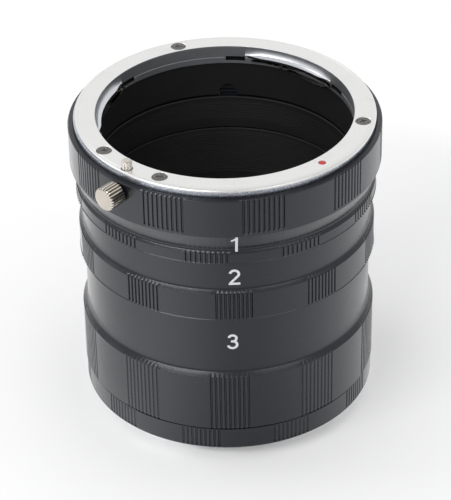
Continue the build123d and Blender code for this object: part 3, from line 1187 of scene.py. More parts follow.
@dataclass
class Grip:
    """Gripping grooves of one band, cut in patches."""

    azimuth: float
    band_radius: float
    bottom: float
    top: float
    grooves: int = 9
    patches: int = 10
    pitch: float = 1.76
    half_width: float = 0.27
    half_floor: float = 0.09
    depth: float = 0.28
    plain_steps: int = 10

    def ring(
        self, name: str, outline: Outline, shell: Finish, bore: Finish, bore_radius: float
    ) -> bpy.types.Object:
        """Make a ring with these grooves.

        Args:
            name: Name of the piece.
            outline: Closed outline of the ring's wall.
            shell: Finish of the outside.
            bore: Finish of what lies inside the bore radius.
            bore_radius: Radius that parts the two finishes.

        Returns:
            The ring.
        """
        mesh = bpy.data.meshes.new(name)
        points = [Vector((radius, 0.0, height)) * MM for radius, height in outline]
        mesh.from_pydata(points + points[:1], [], [])
        first = self.azimuth - (self.grooves - 1) / 2 * self.pitch
        values = {
            "Patches": self.patches,
            "Grooves": self.grooves,
            "Plain steps": self.plain_steps,
            "Pitch": math.radians(self.pitch),
            "Half width": self.half_width * MM,
            "Half floor": self.half_floor * MM,
            "Depth": self.depth * MM,
            "First azimuth": math.radians(first),
            "Band radius": self.band_radius * MM,
            "Bottom": self.bottom * MM,
            "Top": self.top * MM,
            "Bore radius": bore_radius * MM,
            "Shell": shell.material(),
            "Bore": bore.material(),
        }
        tree = geometry_tree("gripping_ring", GRIP_INPUTS, write_gripping_ring)
        ring = run_tree(new_object(name, mesh), tree, values)
        tidy_mesh(ring.data)
        return ring


# Share of a ring's pitch that stays plain on each side
RING_EDGE = 0.12
# Hair's breadth between two edges that would otherwise meet, in millimetres
OVERRUN = 0.01


def rings_in_wall(
    radius: float, start: float, end: float, pitch: float, depth: float
) -> Outline:
    """Fine V grooves in a wall, from one height to another.

    Args:
        radius: Radius of the wall.
        start: Height where the grooves start.
        end: Height where they end.
        pitch: Distance between two grooves.
        depth: How far they go out; negative for grooves that go in.

    Returns:
        Points of the grooved wall, in order.
    """
    count = max(1, int(abs(end - start) / pitch))
    step = (end - start) / count
    points = []
    for place in range(count):
        for share, reach in ((RING_EDGE, 0.0), (0.5, depth), (1 - RING_EDGE, 0.0)):
            points.append((radius + reach, start + step * (place + share)))
    return points


@dataclass(frozen=True)
class Thread:
    """The thread that joins two sections, drawn as rings in their walls."""

    radius: float = 28.7
    socket_radius: float = 28.75
    pitch: float = 0.75
    depth: float = 0.32
    socket_depth: float = 0.32
    end_chamfer: float = 0.2
    rim_chamfer: float = 0.25
    runout: float = 0.3
    rim_runout: float = 0.4

    def spigot(self, bottom: float, base: float) -> Outline:
        """Outside of a threaded end.

        Args:
            bottom: Height of its free edge.
            base: Height of the shoulder above it.

        Returns:
            Its points, from the free edge up.
        """
        low, high = bottom + self.runout, base - self.runout
        ridges = rings_in_wall(self.radius, low, high, self.pitch, -self.depth)
        start = [(self.radius - self.end_chamfer, bottom), (self.radius, bottom + self.end_chamfer)]
        return [*start, *ridges, (self.radius, base)]

    def socket(self, top: float, floor: float) -> Outline:
        """Inside of a threaded socket.

        Args:
            top: Height of its rim.
            floor: Height of its floor.

        Returns:
            Its points, from the rim down.
        """
        radius = self.socket_radius
        high, low = top - self.rim_runout, floor + self.runout
        ridges = rings_in_wall(radius, high, low, self.pitch, self.socket_depth)
        start = [(radius + self.rim_chamfer, top), (radius, top - self.rim_chamfer)]
        return [*start, *ridges, (radius, floor)]


@dataclass
class Tube:
    """One extension tube: threaded spigot, gripping band, plain wall and threaded socket."""

    digit: int
    body: Body
    base: float
    length: float
    band_radius: float
    band_height: float
    plain_radius: float
    top_radius: float
    grip_azimuth: float
    grip_pitch: float
    socket_depth: float = 3.4
    thread: Thread = Thread(socket_depth=0.14)
    spigot_length: float = 3.0
    bore_radius: float = 27.2
    bore_margin: float = 0.35
    land: float = 1.2
    floor_chamfer: float = 0.15
    baffle_pitch: float = 0.62
    baffle_depth: float = 0.1
    baffle_end: float = 0.9
    fillet: float = 0.4
    lip: float = 0.1
    lip_height: float = 0.03
    lip_slope: float = 0.05
    groove_depth: float = 0.22
    grip_depth: float = 0.28
    band_edge: float = 0.06
    edge: float = 0.1

    def outline(self) -> Outline:
        """Outline of the tube's wall.

        Returns:
            Its points, from the spigot's inner edge around.
        """
        base = self.base
        top = base + self.length
        bottom = base - self.spigot_length
        floor = top - self.socket_depth
        shoulder = base + self.band_height
        bevel = self.band_radius - self.plain_radius
        foot = self.band_radius + self.lip
        baffles = rings_in_wall(
            self.bore_radius,
            floor - self.land,
            base - self.baffle_end,
            self.baffle_pitch,
            self.baffle_depth,
        )
        corners: Corners = [
            (self.bore_radius, bottom),
            *self.thread.spigot(bottom, base),
            (self.band_radius - self.groove_depth, base),
            (foot, base),
            (foot, base + self.lip_height),
            (self.band_radius, base + self.lip_slope + self.lip),
            (self.band_radius, shoulder, self.band_edge),
            (self.band_radius - self.groove_depth, shoulder + self.groove_depth),
            (self.plain_radius, shoulder + bevel, self.fillet),
            (self.top_radius, top, self.edge),
            *self.thread.socket(top, floor),
            (self.bore_radius + self.floor_chamfer, floor),
            (self.bore_radius, floor - self.floor_chamfer),
            *baffles,
        ]
        return rounded(corners)

    def build(self) -> None:
        """Build the tube."""
        grip = Grip(
            self.grip_azimuth,
            self.band_radius,
            self.base - OVERRUN,
            self.base + self.band_height + self.band_radius - self.plain_radius,
            pitch=self.grip_pitch,
            depth=self.grip_depth,
        )
        name = f"tube_{self.digit}_shell"
        bore = self.bore_radius + self.bore_margin
        ring = grip.ring(name, self.outline(), BLACK_SHELL, BLACK_BORE, bore)
        hand_over(ring, self.body, [f"tube_{self.digit}"])


@dataclass
class CameraRing:
    """The thin black ring at the camera end."""

    radius: float = 31.4
    height: float = TUBE_3_BASE
    bevel: float = 0.4
    joint: float = 0.4
    joint_depth: float = 0.7
    joint_edge: float = 0.06
    seat_radius: float = 30.8
    seat_depth: float = 1.6
    bore_radius: float = 27.2
    bore_margin: float = 0.2
    socket_floor: float = 2.2
    edge: float = 0.1
    thread: Thread = Thread()
    grip_azimuth: float = 24.5
    grip_base: float = 0.7
    grip_depth: float = 0.19

    def outline(self) -> Outline:
        """Outline of the ring's wall.

        Returns:
            Its points, from the seat of the bayonet around.
        """
        outer = self.radius
        joint_radius = outer - self.joint_depth
        joint_base = self.height - self.joint
        corners: Corners = [
            (self.bore_radius, self.seat_depth),
            (self.seat_radius, self.seat_depth),
            (self.seat_radius, 0.0),
            (outer - self.bevel, 0.0),
            (outer, self.bevel, self.edge),
            (outer, self.grip_base - OVERRUN),
            (outer, self.grip_base + OVERRUN),
            (outer, joint_base, self.joint_edge),
            (joint_radius, joint_base),
            (joint_radius, self.height),
            *self.thread.socket(self.height, self.socket_floor),
            (self.bore_radius, self.socket_floor),
        ]
        return rounded(corners)

    def build(self) -> None:
        """Build the ring."""
        top = self.height + OVERRUN
        grip = Grip(self.grip_azimuth, self.radius, self.grip_base, top, depth=self.grip_depth)
        bore = self.bore_radius + self.bore_margin
        ring = grip.ring("camera_ring_shell", self.outline(), BLACK_SHELL, BLACK_BORE, bore)
        hand_over(ring, Body.CAMERA, ["camera_ring"])


@dataclass
class LensRing:
    """The wide black ring under the lens flange, with the slot of the release knob."""

    base: float = LENS_RING_BASE
    ledge: float = 63.3
    seat: float = FLANGE_SEAT
    radius: float = 32.8
    foot_bevel: float = 0.12
    foot_height: float = 0.7
    foot_blend: float = 0.16
    bevel: float = 0.3
    face_start: float = 0.27
    edge: float = 0.09
    seat_radius: float = 31.65
    skirt_seat_radius: float = 28.0
    skirt_seat: float = 60.75
    bore_radius: float = 27.4
    bore_chamfer: float = 0.15
    bore_margin: float = 0.3
    thread: Thread = Thread(pitch=0.7)
    spigot_length: float = 2.0
    grip_azimuth: float = 13.1
    grip_pitch: float = 1.8
    lock_azimuth: float = LOCK_AZIMUTH
    slot_middle: float = 59.9
    slot_length: float = 3.56
    slot_width: float = 1.66
    slot_reach: Point = (30.6, 34.0)
    slot_steps: int = 10
    notch_azimuth: float = 178.3
    notch_width: float = 3.9
    notch_height: float = 2.7
    notch_depth: float = 1.6
    notch_steps: int = 12

    def outline(self) -> Outline:
        """Outline of the ring's wall.

        Returns:
            Its points, from the spigot's inner edge around.
        """
        bottom = self.base - self.spigot_length
        foot = self.base + self.foot_height
        corners: Corners = [
            (self.bore_radius + self.bore_chamfer, bottom),
            *self.thread.spigot(bottom, self.base),
            (self.radius - self.foot_bevel, self.base),
            (self.radius, self.base + self.foot_bevel, self.edge),
            (self.radius, foot - OVERRUN),
            (self.radius, foot + self.foot_blend),
            (self.radius, self.ledge - self.bevel, self.edge),
            (self.radius - self.bevel, self.ledge),
            (self.radius - self.face_start, self.ledge),
            (self.seat_radius, self.ledge, self.edge),
            (self.seat_radius, self.seat),
            (self.skirt_seat_radius, self.seat),
            (self.skirt_seat_radius, self.skirt_seat),
            (self.bore_radius, self.skirt_seat),
            (self.bore_radius, bottom + self.bore_chamfer),
        ]
        return rounded(corners)

    @staticmethod
    def rounded_slot(width: float, height: float, steps: int) -> Outline:
        """Outline of an upright slot with round ends, centred on the origin.

        Args:
            width: Width of the slot.
            height: Height over its round ends.
            steps: Straight pieces of each end.

        Returns:
            Its points.
        """
        half = width / 2
        straight = height / 2 - half
        points = []
        for centre, first in ((straight, 0.0), (-straight, 180.0)):
            for step in range(steps + 1):
                angle = math.radians(first + 180 * step / steps)
                points.append((half * math.cos(angle), centre + half * math.sin(angle)))
        return points

    @staticmethod
    def cutter(name: str, outline: Outline, reach: Point, place: Matrix) -> bpy.types.Object:
        """Prism of an outline, between two distances along its normal."""
        ends = ([(x, y, distance) for x, y in outline] for distance in reach)
        return prism(name, *ends, place)

    def build(self) -> None:
        """Build the ring and cut its slot and its spanner notch."""
        start, end = self.base + self.foot_height, self.ledge + OVERRUN
        grip = Grip(self.grip_azimuth, self.radius, start, end, pitch=self.grip_pitch)
        bore = self.bore_radius + self.bore_margin
        ring = grip.ring("lens_ring_shell", self.outline(), BLACK_SHELL, BLACK_BORE, bore)
        slot = self.cutter(
            "slot_cutter",
            self.rounded_slot(self.slot_width, self.slot_length, self.slot_steps),
            self.slot_reach,
            facing(0.0, self.lock_azimuth, self.slot_middle),
        )
        notch = self.cutter(
            "notch_cutter",
            self.rounded_slot(self.notch_width, 2 * self.notch_height, self.notch_steps),
            (self.bore_radius - self.notch_depth, self.bore_radius + self.notch_depth),
            facing(0.0, self.notch_azimuth, self.base - self.spigot_length),
        )
        hand_over(cut(ring, [slot, notch]), Body.LENS, ["lens_ring"])


@dataclass
class Screws:
    """Countersunk cross-head screws of one plate, as copies of one screw."""

    name: str
    body: Body
    circle: float
    azimuths: tuple[float, ...]
    face: float
    head_radius: float
    shank_radius: float
    length: float
    downwards: bool
    sunk: float = 0.06
    head_edge: float = 0.08
    cross_reach: float = 0.5
    cross_width: float = 0.12
    cross_depth: float = 0.12
    cross_taper: float = 0.7
    cross_rise: float = 0.2
    turn_share: float = 1.7
    turn_step: float = 20.0
    steps: int = 40
    seat_play: float = 0.05
    seat_rise: float = 0.3
    seat_steps: int = 48

    def cross(self) -> Outline:
        """Outline of the driver's cross.

        Returns:
            Its points, three for each quarter.
        """
        reach = self.head_radius * self.cross_reach
        half = self.head_radius * self.cross_width
        corners = [(half, half), (half, reach), (-half, reach)]
        points: Outline = []
        for _ in range(4):
            points += corners
            corners = [(-y, x) for x, y in corners]
        return points

    def screw(self) -> bpy.types.Object:
        """One screw that points down, with its head at the origin.

        Returns:
            The screw.
        """
        head = self.head_radius - self.shank_radius
        outline = rounded(
            [
                (0.0, -self.sunk),
                (self.head_radius - self.sunk, -self.sunk, self.head_edge),
                (self.shank_radius, -head - self.sunk),
                (self.shank_radius, -self.length),
                (0.0, -self.length),
            ]
        )
        piece = turned(f"{self.name}_one", outline, self.steps)
        depth = self.sunk + self.head_radius * self.cross_depth
        taper = self.cross_taper
        cross = self.cross()
        low = [(x * taper, y * taper, -depth) for x, y in cross]
        high = [(x, y, self.cross_rise) for x, y in cross]
        return cut(piece, [prism(f"{self.name}_cross", low, high)])

    def build(self, replaced: Sequence[str]) -> None:
        """Put a copy of the screw at each azimuth.

        Args:
            replaced: Nodes that the screws stand for.
        """
        one = self.screw()
        if not self.downwards:
            one.data.transform(Matrix.Rotation(math.pi, 4, "X"))
        mesh = bpy.data.meshes.new(self.name)
        places = [spot(self.circle, azimuth, self.face) for azimuth in self.azimuths]
        mesh.from_pydata(places, [], [])
        turn = mesh.attributes.new("turn", "FLOAT", "POINT")
        for place, azimuth in enumerate(self.azimuths):
            angle = azimuth * self.turn_share + self.turn_step * place
            turn.data[place].value = math.radians(angle)
        tree = geometry_tree("placed_copies", COPY_INPUTS, write_copies)
        values = {"Piece": one, "Finish": DARK_SCREW.material()}
        screws = run_tree(new_object(self.name, mesh), tree, values)
        bpy.data.objects.remove(one)
        tidy_mesh(screws.data)
        hand_over(screws, self.body, replaced)

    def seats(self) -> list[bpy.types.Object]:
        """Cutters of the screws' countersunk holes.

        Returns:
            One cutter for each screw.
        """
        sign = -1.0 if self.downwards else 1.0
        play = self.seat_play
        shank = self.shank_radius + play
        outline = [
            (0.0, -self.seat_rise * sign),
            (self.head_radius + self.seat_rise + play, -self.seat_rise * sign),
            (shank, (self.head_radius - self.shank_radius) * sign),
            (shank, self.length * sign),
            (0.0, self.length * sign),
        ]
        seats = []
        for number, azimuth in enumerate(self.azimuths):
            place = standing(self.circle, azimuth, self.face)
            seats.append(turned(f"{self.name}_seat_{number}", outline, self.seat_steps, place))
        return seats


class LugPart(Enum):
    """What a section of a bayonet ring cuts through."""

    PLAIN = "plain"
    LUG = "lug"


def away(azimuth: float, other: float) -> float:
    """Angle between two azimuths, from 0 to 180 degrees."""
    return abs((azimuth - other + 180) % 360 - 180)


def bayonet_stations(
    lugs: Sequence[float], span: float, step: float = 1.0
) -> list[tuple[float, LugPart]]:
    """Azimuths of a bayonet ring's sections, doubled where a lug starts or ends.

    Args:
        lugs: Azimuth of each lug's middle.
        span: Width of a lug in degrees.
        step: Largest step between two sections.

    Returns:
        Azimuth and kind of each section.
    """
    hair = 0.01
    edges = [lug + side * span / 2 for lug in lugs for side in (-1, 1)]
    azimuths = [(edge + shift) % 360 for edge in edges for shift in (-hair, hair)]
    for count in range(int(360 / step)):
        azimuth = count * step
        if all(away(azimuth, edge) > 4 * hair for edge in edges):
            azimuths.append(azimuth)
    stations = []
    for azimuth in sorted(azimuths):
        in_lug = min(away(azimuth, lug) for lug in lugs) < span / 2
        stations.append((azimuth, LugPart.LUG if in_lug else LugPart.PLAIN))
    return stations


def sector(
    name: str, inner: float, outer: float, start: float, end: float, low: float, high: float
) -> bpy.types.Object:
    """Solid between two radii, two azimuths and two heights.

    Args:
        name: Name of the piece.
        inner: Inner radius.
        outer: Outer radius.
        start: Azimuth where it starts.
        end: Azimuth where it ends, further on.
        low: Height of its underside.
        high: Height of its top.

    Returns:
        The solid.
    """
    steps = max(2, int(abs(end - start)))
    points = []
    for step in range(steps + 1):
        outwards = radial(start + (end - start) * step / steps)
        for radius, height in ((inner, low), (outer, low), (outer, high), (inner, high)):
            points.append((outwards.x * radius, outwards.y * radius, height))
    faces = [(3, 2, 1, 0), tuple(4 * steps + corner for corner in range(4))]
    for here in range(0, 4 * steps, 4):
        for corner in range(4):
            after = (corner + 1) % 4
            faces.append((here + corner, here + after, here + 4 + after, here + 4 + corner))
    return from_faces(name, points, faces)


@dataclass
class LensFlange:
    """The silver ring that a lens seats on, with a skirt and three swept lugs inside."""

    throat: float = 27.0
    radius: float = 31.6
    seat: float = FLANGE_SEAT
    top: float = FLANGE_TOP
    corner: float = 0.85
    skirt_radius: float = 27.9
    skirt_base: float = 60.8
    lug_radius: float = 25.8
    lug_base: float = 62.5
    lug_lip: float = 0.5
    lugs: tuple[float, ...] = (-101.0, 25.0, 146.0)
    lug_span: float = 48.0
    lug_ease: float = 9.0
    end_share: float = 0.3
    sweep_top: float = 64.8
    sweep_land: float = 0.03
    sweep_steps: int = 10
    lip_break: float = 0.06
    edge_break: float = 0.05
    lug_root: float = 0.1
    root_step: float = 0.02
    line_drop: float = 0.3
    line_depth: float = 0.03
    face_line: float = 0.04
    throat_edge: float = 0.1
    corner_steps: int = 6
    relief_span: float = 9.0
    relief_height: float = 1.0
    relief_gap: float = 0.13
    relief_depth: float = 0.2
    relief_overrun: float = 0.03
    relief_step: float = 0.011
    lock_circle: float = LOCK_CIRCLE
    lock_azimuth: float = LOCK_AZIMUTH
    pin_radius: float = 1.08
    pin_play: float = 0.1
    pin_countersink: float = 0.25
    pin_hole_depth: float = 4.0
    mark_circle: float = 29.1
    mark_azimuth: float = 41.6
    mark_radius: float = 0.7
    mark_depth: float = 0.4
    hole_rise: float = 0.05
    hole_steps: int = 48
    mark_steps: int = 40

    def inner_wall(self, share: float) -> Outline:
        """The wall inside the throat, from the top down.

        Args:
            share: How much of the lug's reach stands out here, 0 between two lugs.

        Returns:
            Points of the wall, as many for every share.
        """
        throat = self.throat
        base = self.lug_base
        reach = (throat - self.lug_radius) * share
        lip_top = base + self.lug_lip
        rise = self.sweep_top - lip_top
        wall: Outline = [(throat, self.sweep_top + self.sweep_land)]
        for step in range(self.sweep_steps + 1):
            angle = math.radians(90 * step / self.sweep_steps)
            radius = throat - reach * (1 - math.cos(angle))
            wall.append((radius, self.sweep_top - rise * math.sin(angle)))
        lip = throat - reach
        wall += [(lip, lip_top - self.lip_break), (lip, base + self.edge_break)]
        if share > 0:
            wall += [(lip + self.edge_break, base), (throat - self.lug_root, base)]
            wall += [(throat, base - self.root_step)]
        else:
            wall += [(throat, base + self.root_step), (throat, base)]
            wall += [(throat, base - self.edge_break)]
        line = base - self.line_drop
        deep = self.line_depth
        wall += [(throat, line + deep), (throat + deep, line), (throat, line - deep)]
        wall += [(throat, self.skirt_base + self.lip_break)]
        wall += [(throat + self.edge_break, self.skirt_base)]
        return wall

    def share(self, azimuth: float, part: LugPart) -> float:
        """How much of the lug's reach stands out at an azimuth.

        Args:
            azimuth: Azimuth of the section.
            part: What the section cuts through.

        Returns:
            Share of the reach, which eases in from both ends of a lug.
        """
        if part is LugPart.PLAIN:
            return 0.0
        inside = self.lug_span / 2 - min(away(azimuth, lug) for lug in self.lugs)
        ease = min(1.0, max(0.0, inside / self.lug_ease))
        return self.end_share + (1 - self.end_share) * ease * ease * (3 - 2 * ease)

    def outline(self, azimuth: float, part: LugPart) -> Outline:
        """Outline of one section.

        Args:
            azimuth: Azimuth of the section.
            part: What the section cuts through.

        Returns:
            Its points, as many for every section.
        """
        rim = self.radius - self.corner
        corners: Corners = [
            (self.skirt_radius, self.seat),
            (self.radius, self.seat),
            (self.radius, self.top, self.corner),
            (rim - 2 * self.face_line, self.top),
            (rim - 3 * self.face_line, self.top - self.line_depth),
            (rim - 4 * self.face_line, self.top),
            (self.throat, self.top, self.throat_edge),
            (self.throat, self.sweep_top + self.sweep_land + OVERRUN),
        ]
        upper = rounded(corners, self.corner_steps)
        wall = self.inner_wall(self.share(azimuth, part))
        return [(self.skirt_radius, self.skirt_base), *upper, *wall]

    def reliefs(self) -> list[bpy.types.Object]:
        """Cutters of the milled reliefs at both ends of each lug.

        Returns:
            Two cutters for each lug.
        """
        cutters = []
        for lug in self.lugs:
            for side in (-1, 1):
                start = lug + side * (self.lug_span / 2 + self.relief_gap)
                end = start + side * self.relief_span
                cutter = sector(
                    f"relief_{len(cutters)}",
                    self.throat - self.relief_depth,
                    self.skirt_radius + self.relief_overrun,
                    min(start, end),
                    max(start, end),
                    self.lug_base - self.relief_height,
                    self.lug_base - self.relief_step,
                )
                cutters.append(dress(cutter, BLACK_BORE))
        return cutters

    def build(self, screws: Screws) -> None:
        """Build the flange with its reliefs and the holes of its screws, pin and index mark.

        Args:
            screws: The screws that hold it.
        """
        stations = bayonet_stations(self.lugs, self.lug_span)
        sections = [(azimuth, self.outline(azimuth, part)) for azimuth, part in stations]
        ring = dress(ring_of_sections("lens_flange_plate", sections), ROLLED_SILVER)
        pin = self.pin_radius + self.pin_play
        pin_hole = [
            (0.0, -self.pin_hole_depth),
            (pin, -self.pin_hole_depth),
            (pin, -self.pin_play),
            (self.pin_radius + self.pin_countersink, self.hole_rise),
            (0.0, self.hole_rise),
        ]
        mark_hole = [
            (0.0, -self.mark_depth),
            (self.mark_radius, -self.mark_depth),
            (self.mark_radius + self.pin_play, self.hole_rise),
            (0.0, self.hole_rise),
        ]
        pin_place = standing(self.lock_circle, self.lock_azimuth, self.top)
        cutters = self.reliefs() + screws.seats()
        cutters.append(turned("pin_cutter", pin_hole, self.hole_steps, pin_place))
        cutters.append(turned("mark_cutter", mark_hole, self.mark_steps, self.mark_place()))
        hand_over(cut(ring, cutters), Body.LENS, ["lens_flange"])
        self.build_mark()

    def mark_place(self) -> Matrix:
        """Place of the index mark."""
        return standing(self.mark_circle, self.mark_azimuth, self.top)

    def build_mark(self) -> None:
        """Build the red index mark, a drop of enamel in its dimple."""
        radius = self.mark_radius
        outline = [
            (0.0, -0.39),
            (radius - 0.02, -0.39),
            (radius, -0.1),
            (radius * 0.96, -0.03),
            (radius * 0.8, 0.03),
            (radius * 0.5, 0.06),
            (0.0, 0.07),
        ]
        mark = turned("index_drop", outline, self.mark_steps, self.mark_place())
        hand_over(dress(mark, RED_ENAMEL), Body.LENS, ["index_mark"])


@dataclass
class CameraBayonet:
    """The silver plate, neck and tabs that go into the camera."""

    plate_radius: float = 30.75
    plate_thickness: float = 1.6
    neck_bore: float = 23.4
    neck_radius: float = 25.3
    neck_length: float = 3.4
    tab_radius: float = 26.8
    tab_thickness: float = 1.3
    tabs: tuple[float, ...] = (-73.0, 47.0, 167.0)
    tab_span: float = 56.0
    lock_hole_circle: float = 28.2
    lock_hole_azimuth: float = -12.0
    lock_hole_radius: float = 1.3
    hole_countersink: float = 0.2
    hole_rise: float = 0.1
    hole_steps: int = 40
    mouth_chamfer: float = 0.3
    edge: float = 0.15
    root: float = 0.2
    neck_relief: float = 0.1

    def outline(self, part: LugPart) -> Outline:
        """Outline of one section.

        Args:
            part: What the section cuts through.

        Returns:
            Its points, as many for a tab as between two tabs.
        """
        low = -self.neck_length
        reach = self.tab_radius if part is LugPart.LUG else self.neck_radius
        shoulder = low + self.tab_thickness
        edge = self.edge
        corners: Corners = [
            (self.neck_bore, low + self.mouth_chamfer),
            (self.neck_bore + self.mouth_chamfer, low),
            (self.neck_radius - self.root, low),
            (reach - edge, low),
            (reach, low + edge),
            (reach, shoulder - edge),
            (reach - edge, shoulder),
            (self.neck_radius - 0.1 * OVERRUN, shoulder + OVERRUN),
            (self.neck_radius, -self.neck_relief),
            (self.neck_radius + self.neck_relief, 0.0),
            (self.plate_radius - edge, 0.0),
            (self.plate_radius, edge),
            (self.plate_radius, self.plate_thickness),
            (self.neck_bore, self.plate_thickness),
        ]
        return rounded(corners)

    def build(self, screws: Screws) -> None:
        """Build the bayonet with the holes of its screws and of the camera's lock pin.

        Args:
            screws: The screws that hold it.
        """
        stations = bayonet_stations(self.tabs, self.tab_span)
        outlines = {part: self.outline(part) for part in LugPart}
        sections = [(azimuth, outlines[part]) for azimuth, part in stations]
        ring = dress(ring_of_sections("camera_bayonet_plate", sections), SATIN_SILVER)
        back = self.plate_thickness + self.hole_countersink
        hole = [
            (0.0, -self.hole_rise),
            (self.lock_hole_radius + self.hole_countersink, -self.hole_rise),
            (self.lock_hole_radius, 0.12),
            (self.lock_hole_radius, back),
            (0.0, back),
        ]
        place = standing(self.lock_hole_circle, self.lock_hole_azimuth, 0.0)
        cutters = [*screws.seats(), turned("hole_cutter", hole, self.hole_steps, place)]
        hand_over(cut(ring, cutters), Body.CAMERA, ["camera_bayonet"])


@dataclass
class LensLock:
    """The stepped lock pin and the knurled knob that pulls it down."""

    circle: float = LOCK_CIRCLE
    azimuth: float = LOCK_AZIMUTH
    seat: float = FLANGE_SEAT
    top: float = FLANGE_TOP
    pin_radius: float = 1.08
    pin_rise: float = LOCK_TRAVEL
    collar_radius: float = 1.35
    collar_length: float = 2.5
    collar_length: float = 2.5
    collar_edge: float = 0.1
    tip_bevel: Point = (0.26, 0.28)
    tip_edge: float = 0.06
    pin_steps: int = 64
    knob_height: float = 60.85
    knob_start: float = 33.15
    knob_radius: float = 2.5
    knob_length: float = 3.85
    knob_bevel: float = 0.24
    knob_step: float = 0.02
    knob_edge: float = 0.05
    knob_dish: float = 0.2
    knob_flutes: int = 24
    stem_radius: float = 0.75
    stem_start: float = 29.95

    def build(self) -> None:
        """Build the pin and the knob."""
        self.build_pin()
        self.build_knob()

    def build_pin(self) -> None:
        """Build the stepped pin."""
        tip = self.top + self.pin_rise
        foot = self.seat - self.collar_length
        bevel, drop = self.tip_bevel
        corners: Corners = [
            (0.0, foot),
            (self.collar_radius, foot, self.collar_edge),
            (self.collar_radius, self.seat, self.collar_edge),
            (self.pin_radius, self.seat),
            (self.pin_radius, tip - drop, self.tip_edge),
            (self.pin_radius - bevel, tip, self.tip_edge),
            (0.0, tip),
        ]
        place = standing(self.circle, self.azimuth, 0.0)
        piece = turned("lens_lock_pin", rounded(corners, 4), self.pin_steps, place)
        hand_over(dress(piece, BRIGHT_NICKEL), Body.LOCK, ["lock_pin"])

    def build_knob(self) -> None:
        """Build the knurled knob and its stem."""
        back = self.knob_start
        face = back + self.knob_length
        radius = self.knob_radius
        bevel = self.knob_bevel
        step = self.knob_step
        corners: Corners = [
            (0.0, self.stem_start),
            (self.stem_radius, self.stem_start),
            (self.stem_radius, back),
            (radius - bevel - step, back),
            (radius - bevel, back + step),
            (radius, back + bevel, self.knob_edge - step / 2),
            (radius, face - bevel - 3 * step, self.knob_edge),
            (radius - bevel, face - 2 * step),
            (radius - bevel - 5 * step, face, self.knob_edge),
            (radius - 2.5 * bevel, face - 3 * step),
            (0.0, face - self.knob_dish),
        ]
        grip = Grip(
            0.0,
            radius,
            back - OVERRUN,
            face + OVERRUN,
            grooves=1,
            patches=self.knob_flutes,
            pitch=1.0,
            half_width=0.2,
            half_floor=0.07,
            depth=0.26,
            plain_steps=2,
        )
        name = "release_knob_turned"
        piece = grip.ring(name, rounded(corners), BRIGHT_NICKEL, BRIGHT_NICKEL, 0.0)
        piece.data.transform(facing(0.0, self.azimuth, self.knob_height))
        hand_over(piece, Body.LOCK, ["release_knob"])


@dataclass
class LockSpring:
    """The coil spring under the lock pin, which shortens as the pin goes down."""

    circle: float = LOCK_CIRCLE
    azimuth: float = LOCK_AZIMUTH
    floor: float = 55.4
    radius: float = 0.95
    wire: float = 0.16
    pitch: float = 1.05
    travel: float = LOCK_TRAVEL
    turn_steps: int = 24
    wire_sides: int = 8

    def build(self) -> None:
        """Sweep the wire along its helix."""
        low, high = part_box("lock_spring")
        start, end = low.z / MM + self.wire, high.z / MM - self.wire
        turns = (end - start) / self.pitch
        count = round(turns * self.turn_steps)
        slope = math.atan2(self.pitch, math.tau * self.radius)
        points = []
        for step in range(count + 1):
            angle = math.tau * turns * step / count
            out = Vector((math.cos(angle), math.sin(angle), 0.0))
            along = Vector((-out.y * math.cos(slope), out.x * math.cos(slope), math.sin(slope)))
            across = along.cross(out)
            centre = out * self.radius + UP * (start + (end - start) * step / count)
            for side in range(self.wire_sides):
                turn = math.tau * side / self.wire_sides
                points.append(centre + (out * math.cos(turn) + across * math.sin(turn)) * self.wire)
        sides = self.wire_sides
        faces = [tuple(range(sides)), tuple(range(count * sides, (count + 1) * sides))]
        for step in range(count):
            here, there = step * sides, (step + 1) * sides
            for low_side in range(sides):
                high_side = (low_side + 1) % sides
                faces.append((here + low_side, here + high_side, there + high_side, there + low_side))
        place = standing(self.circle, self.azimuth, 0.0)
        piece = dress(from_faces("lock_spring_coil", points, faces, place), BRIGHT_STEEL)
        hand_over(piece, Body.LENS, ["lock_spring"])
        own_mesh(piece)


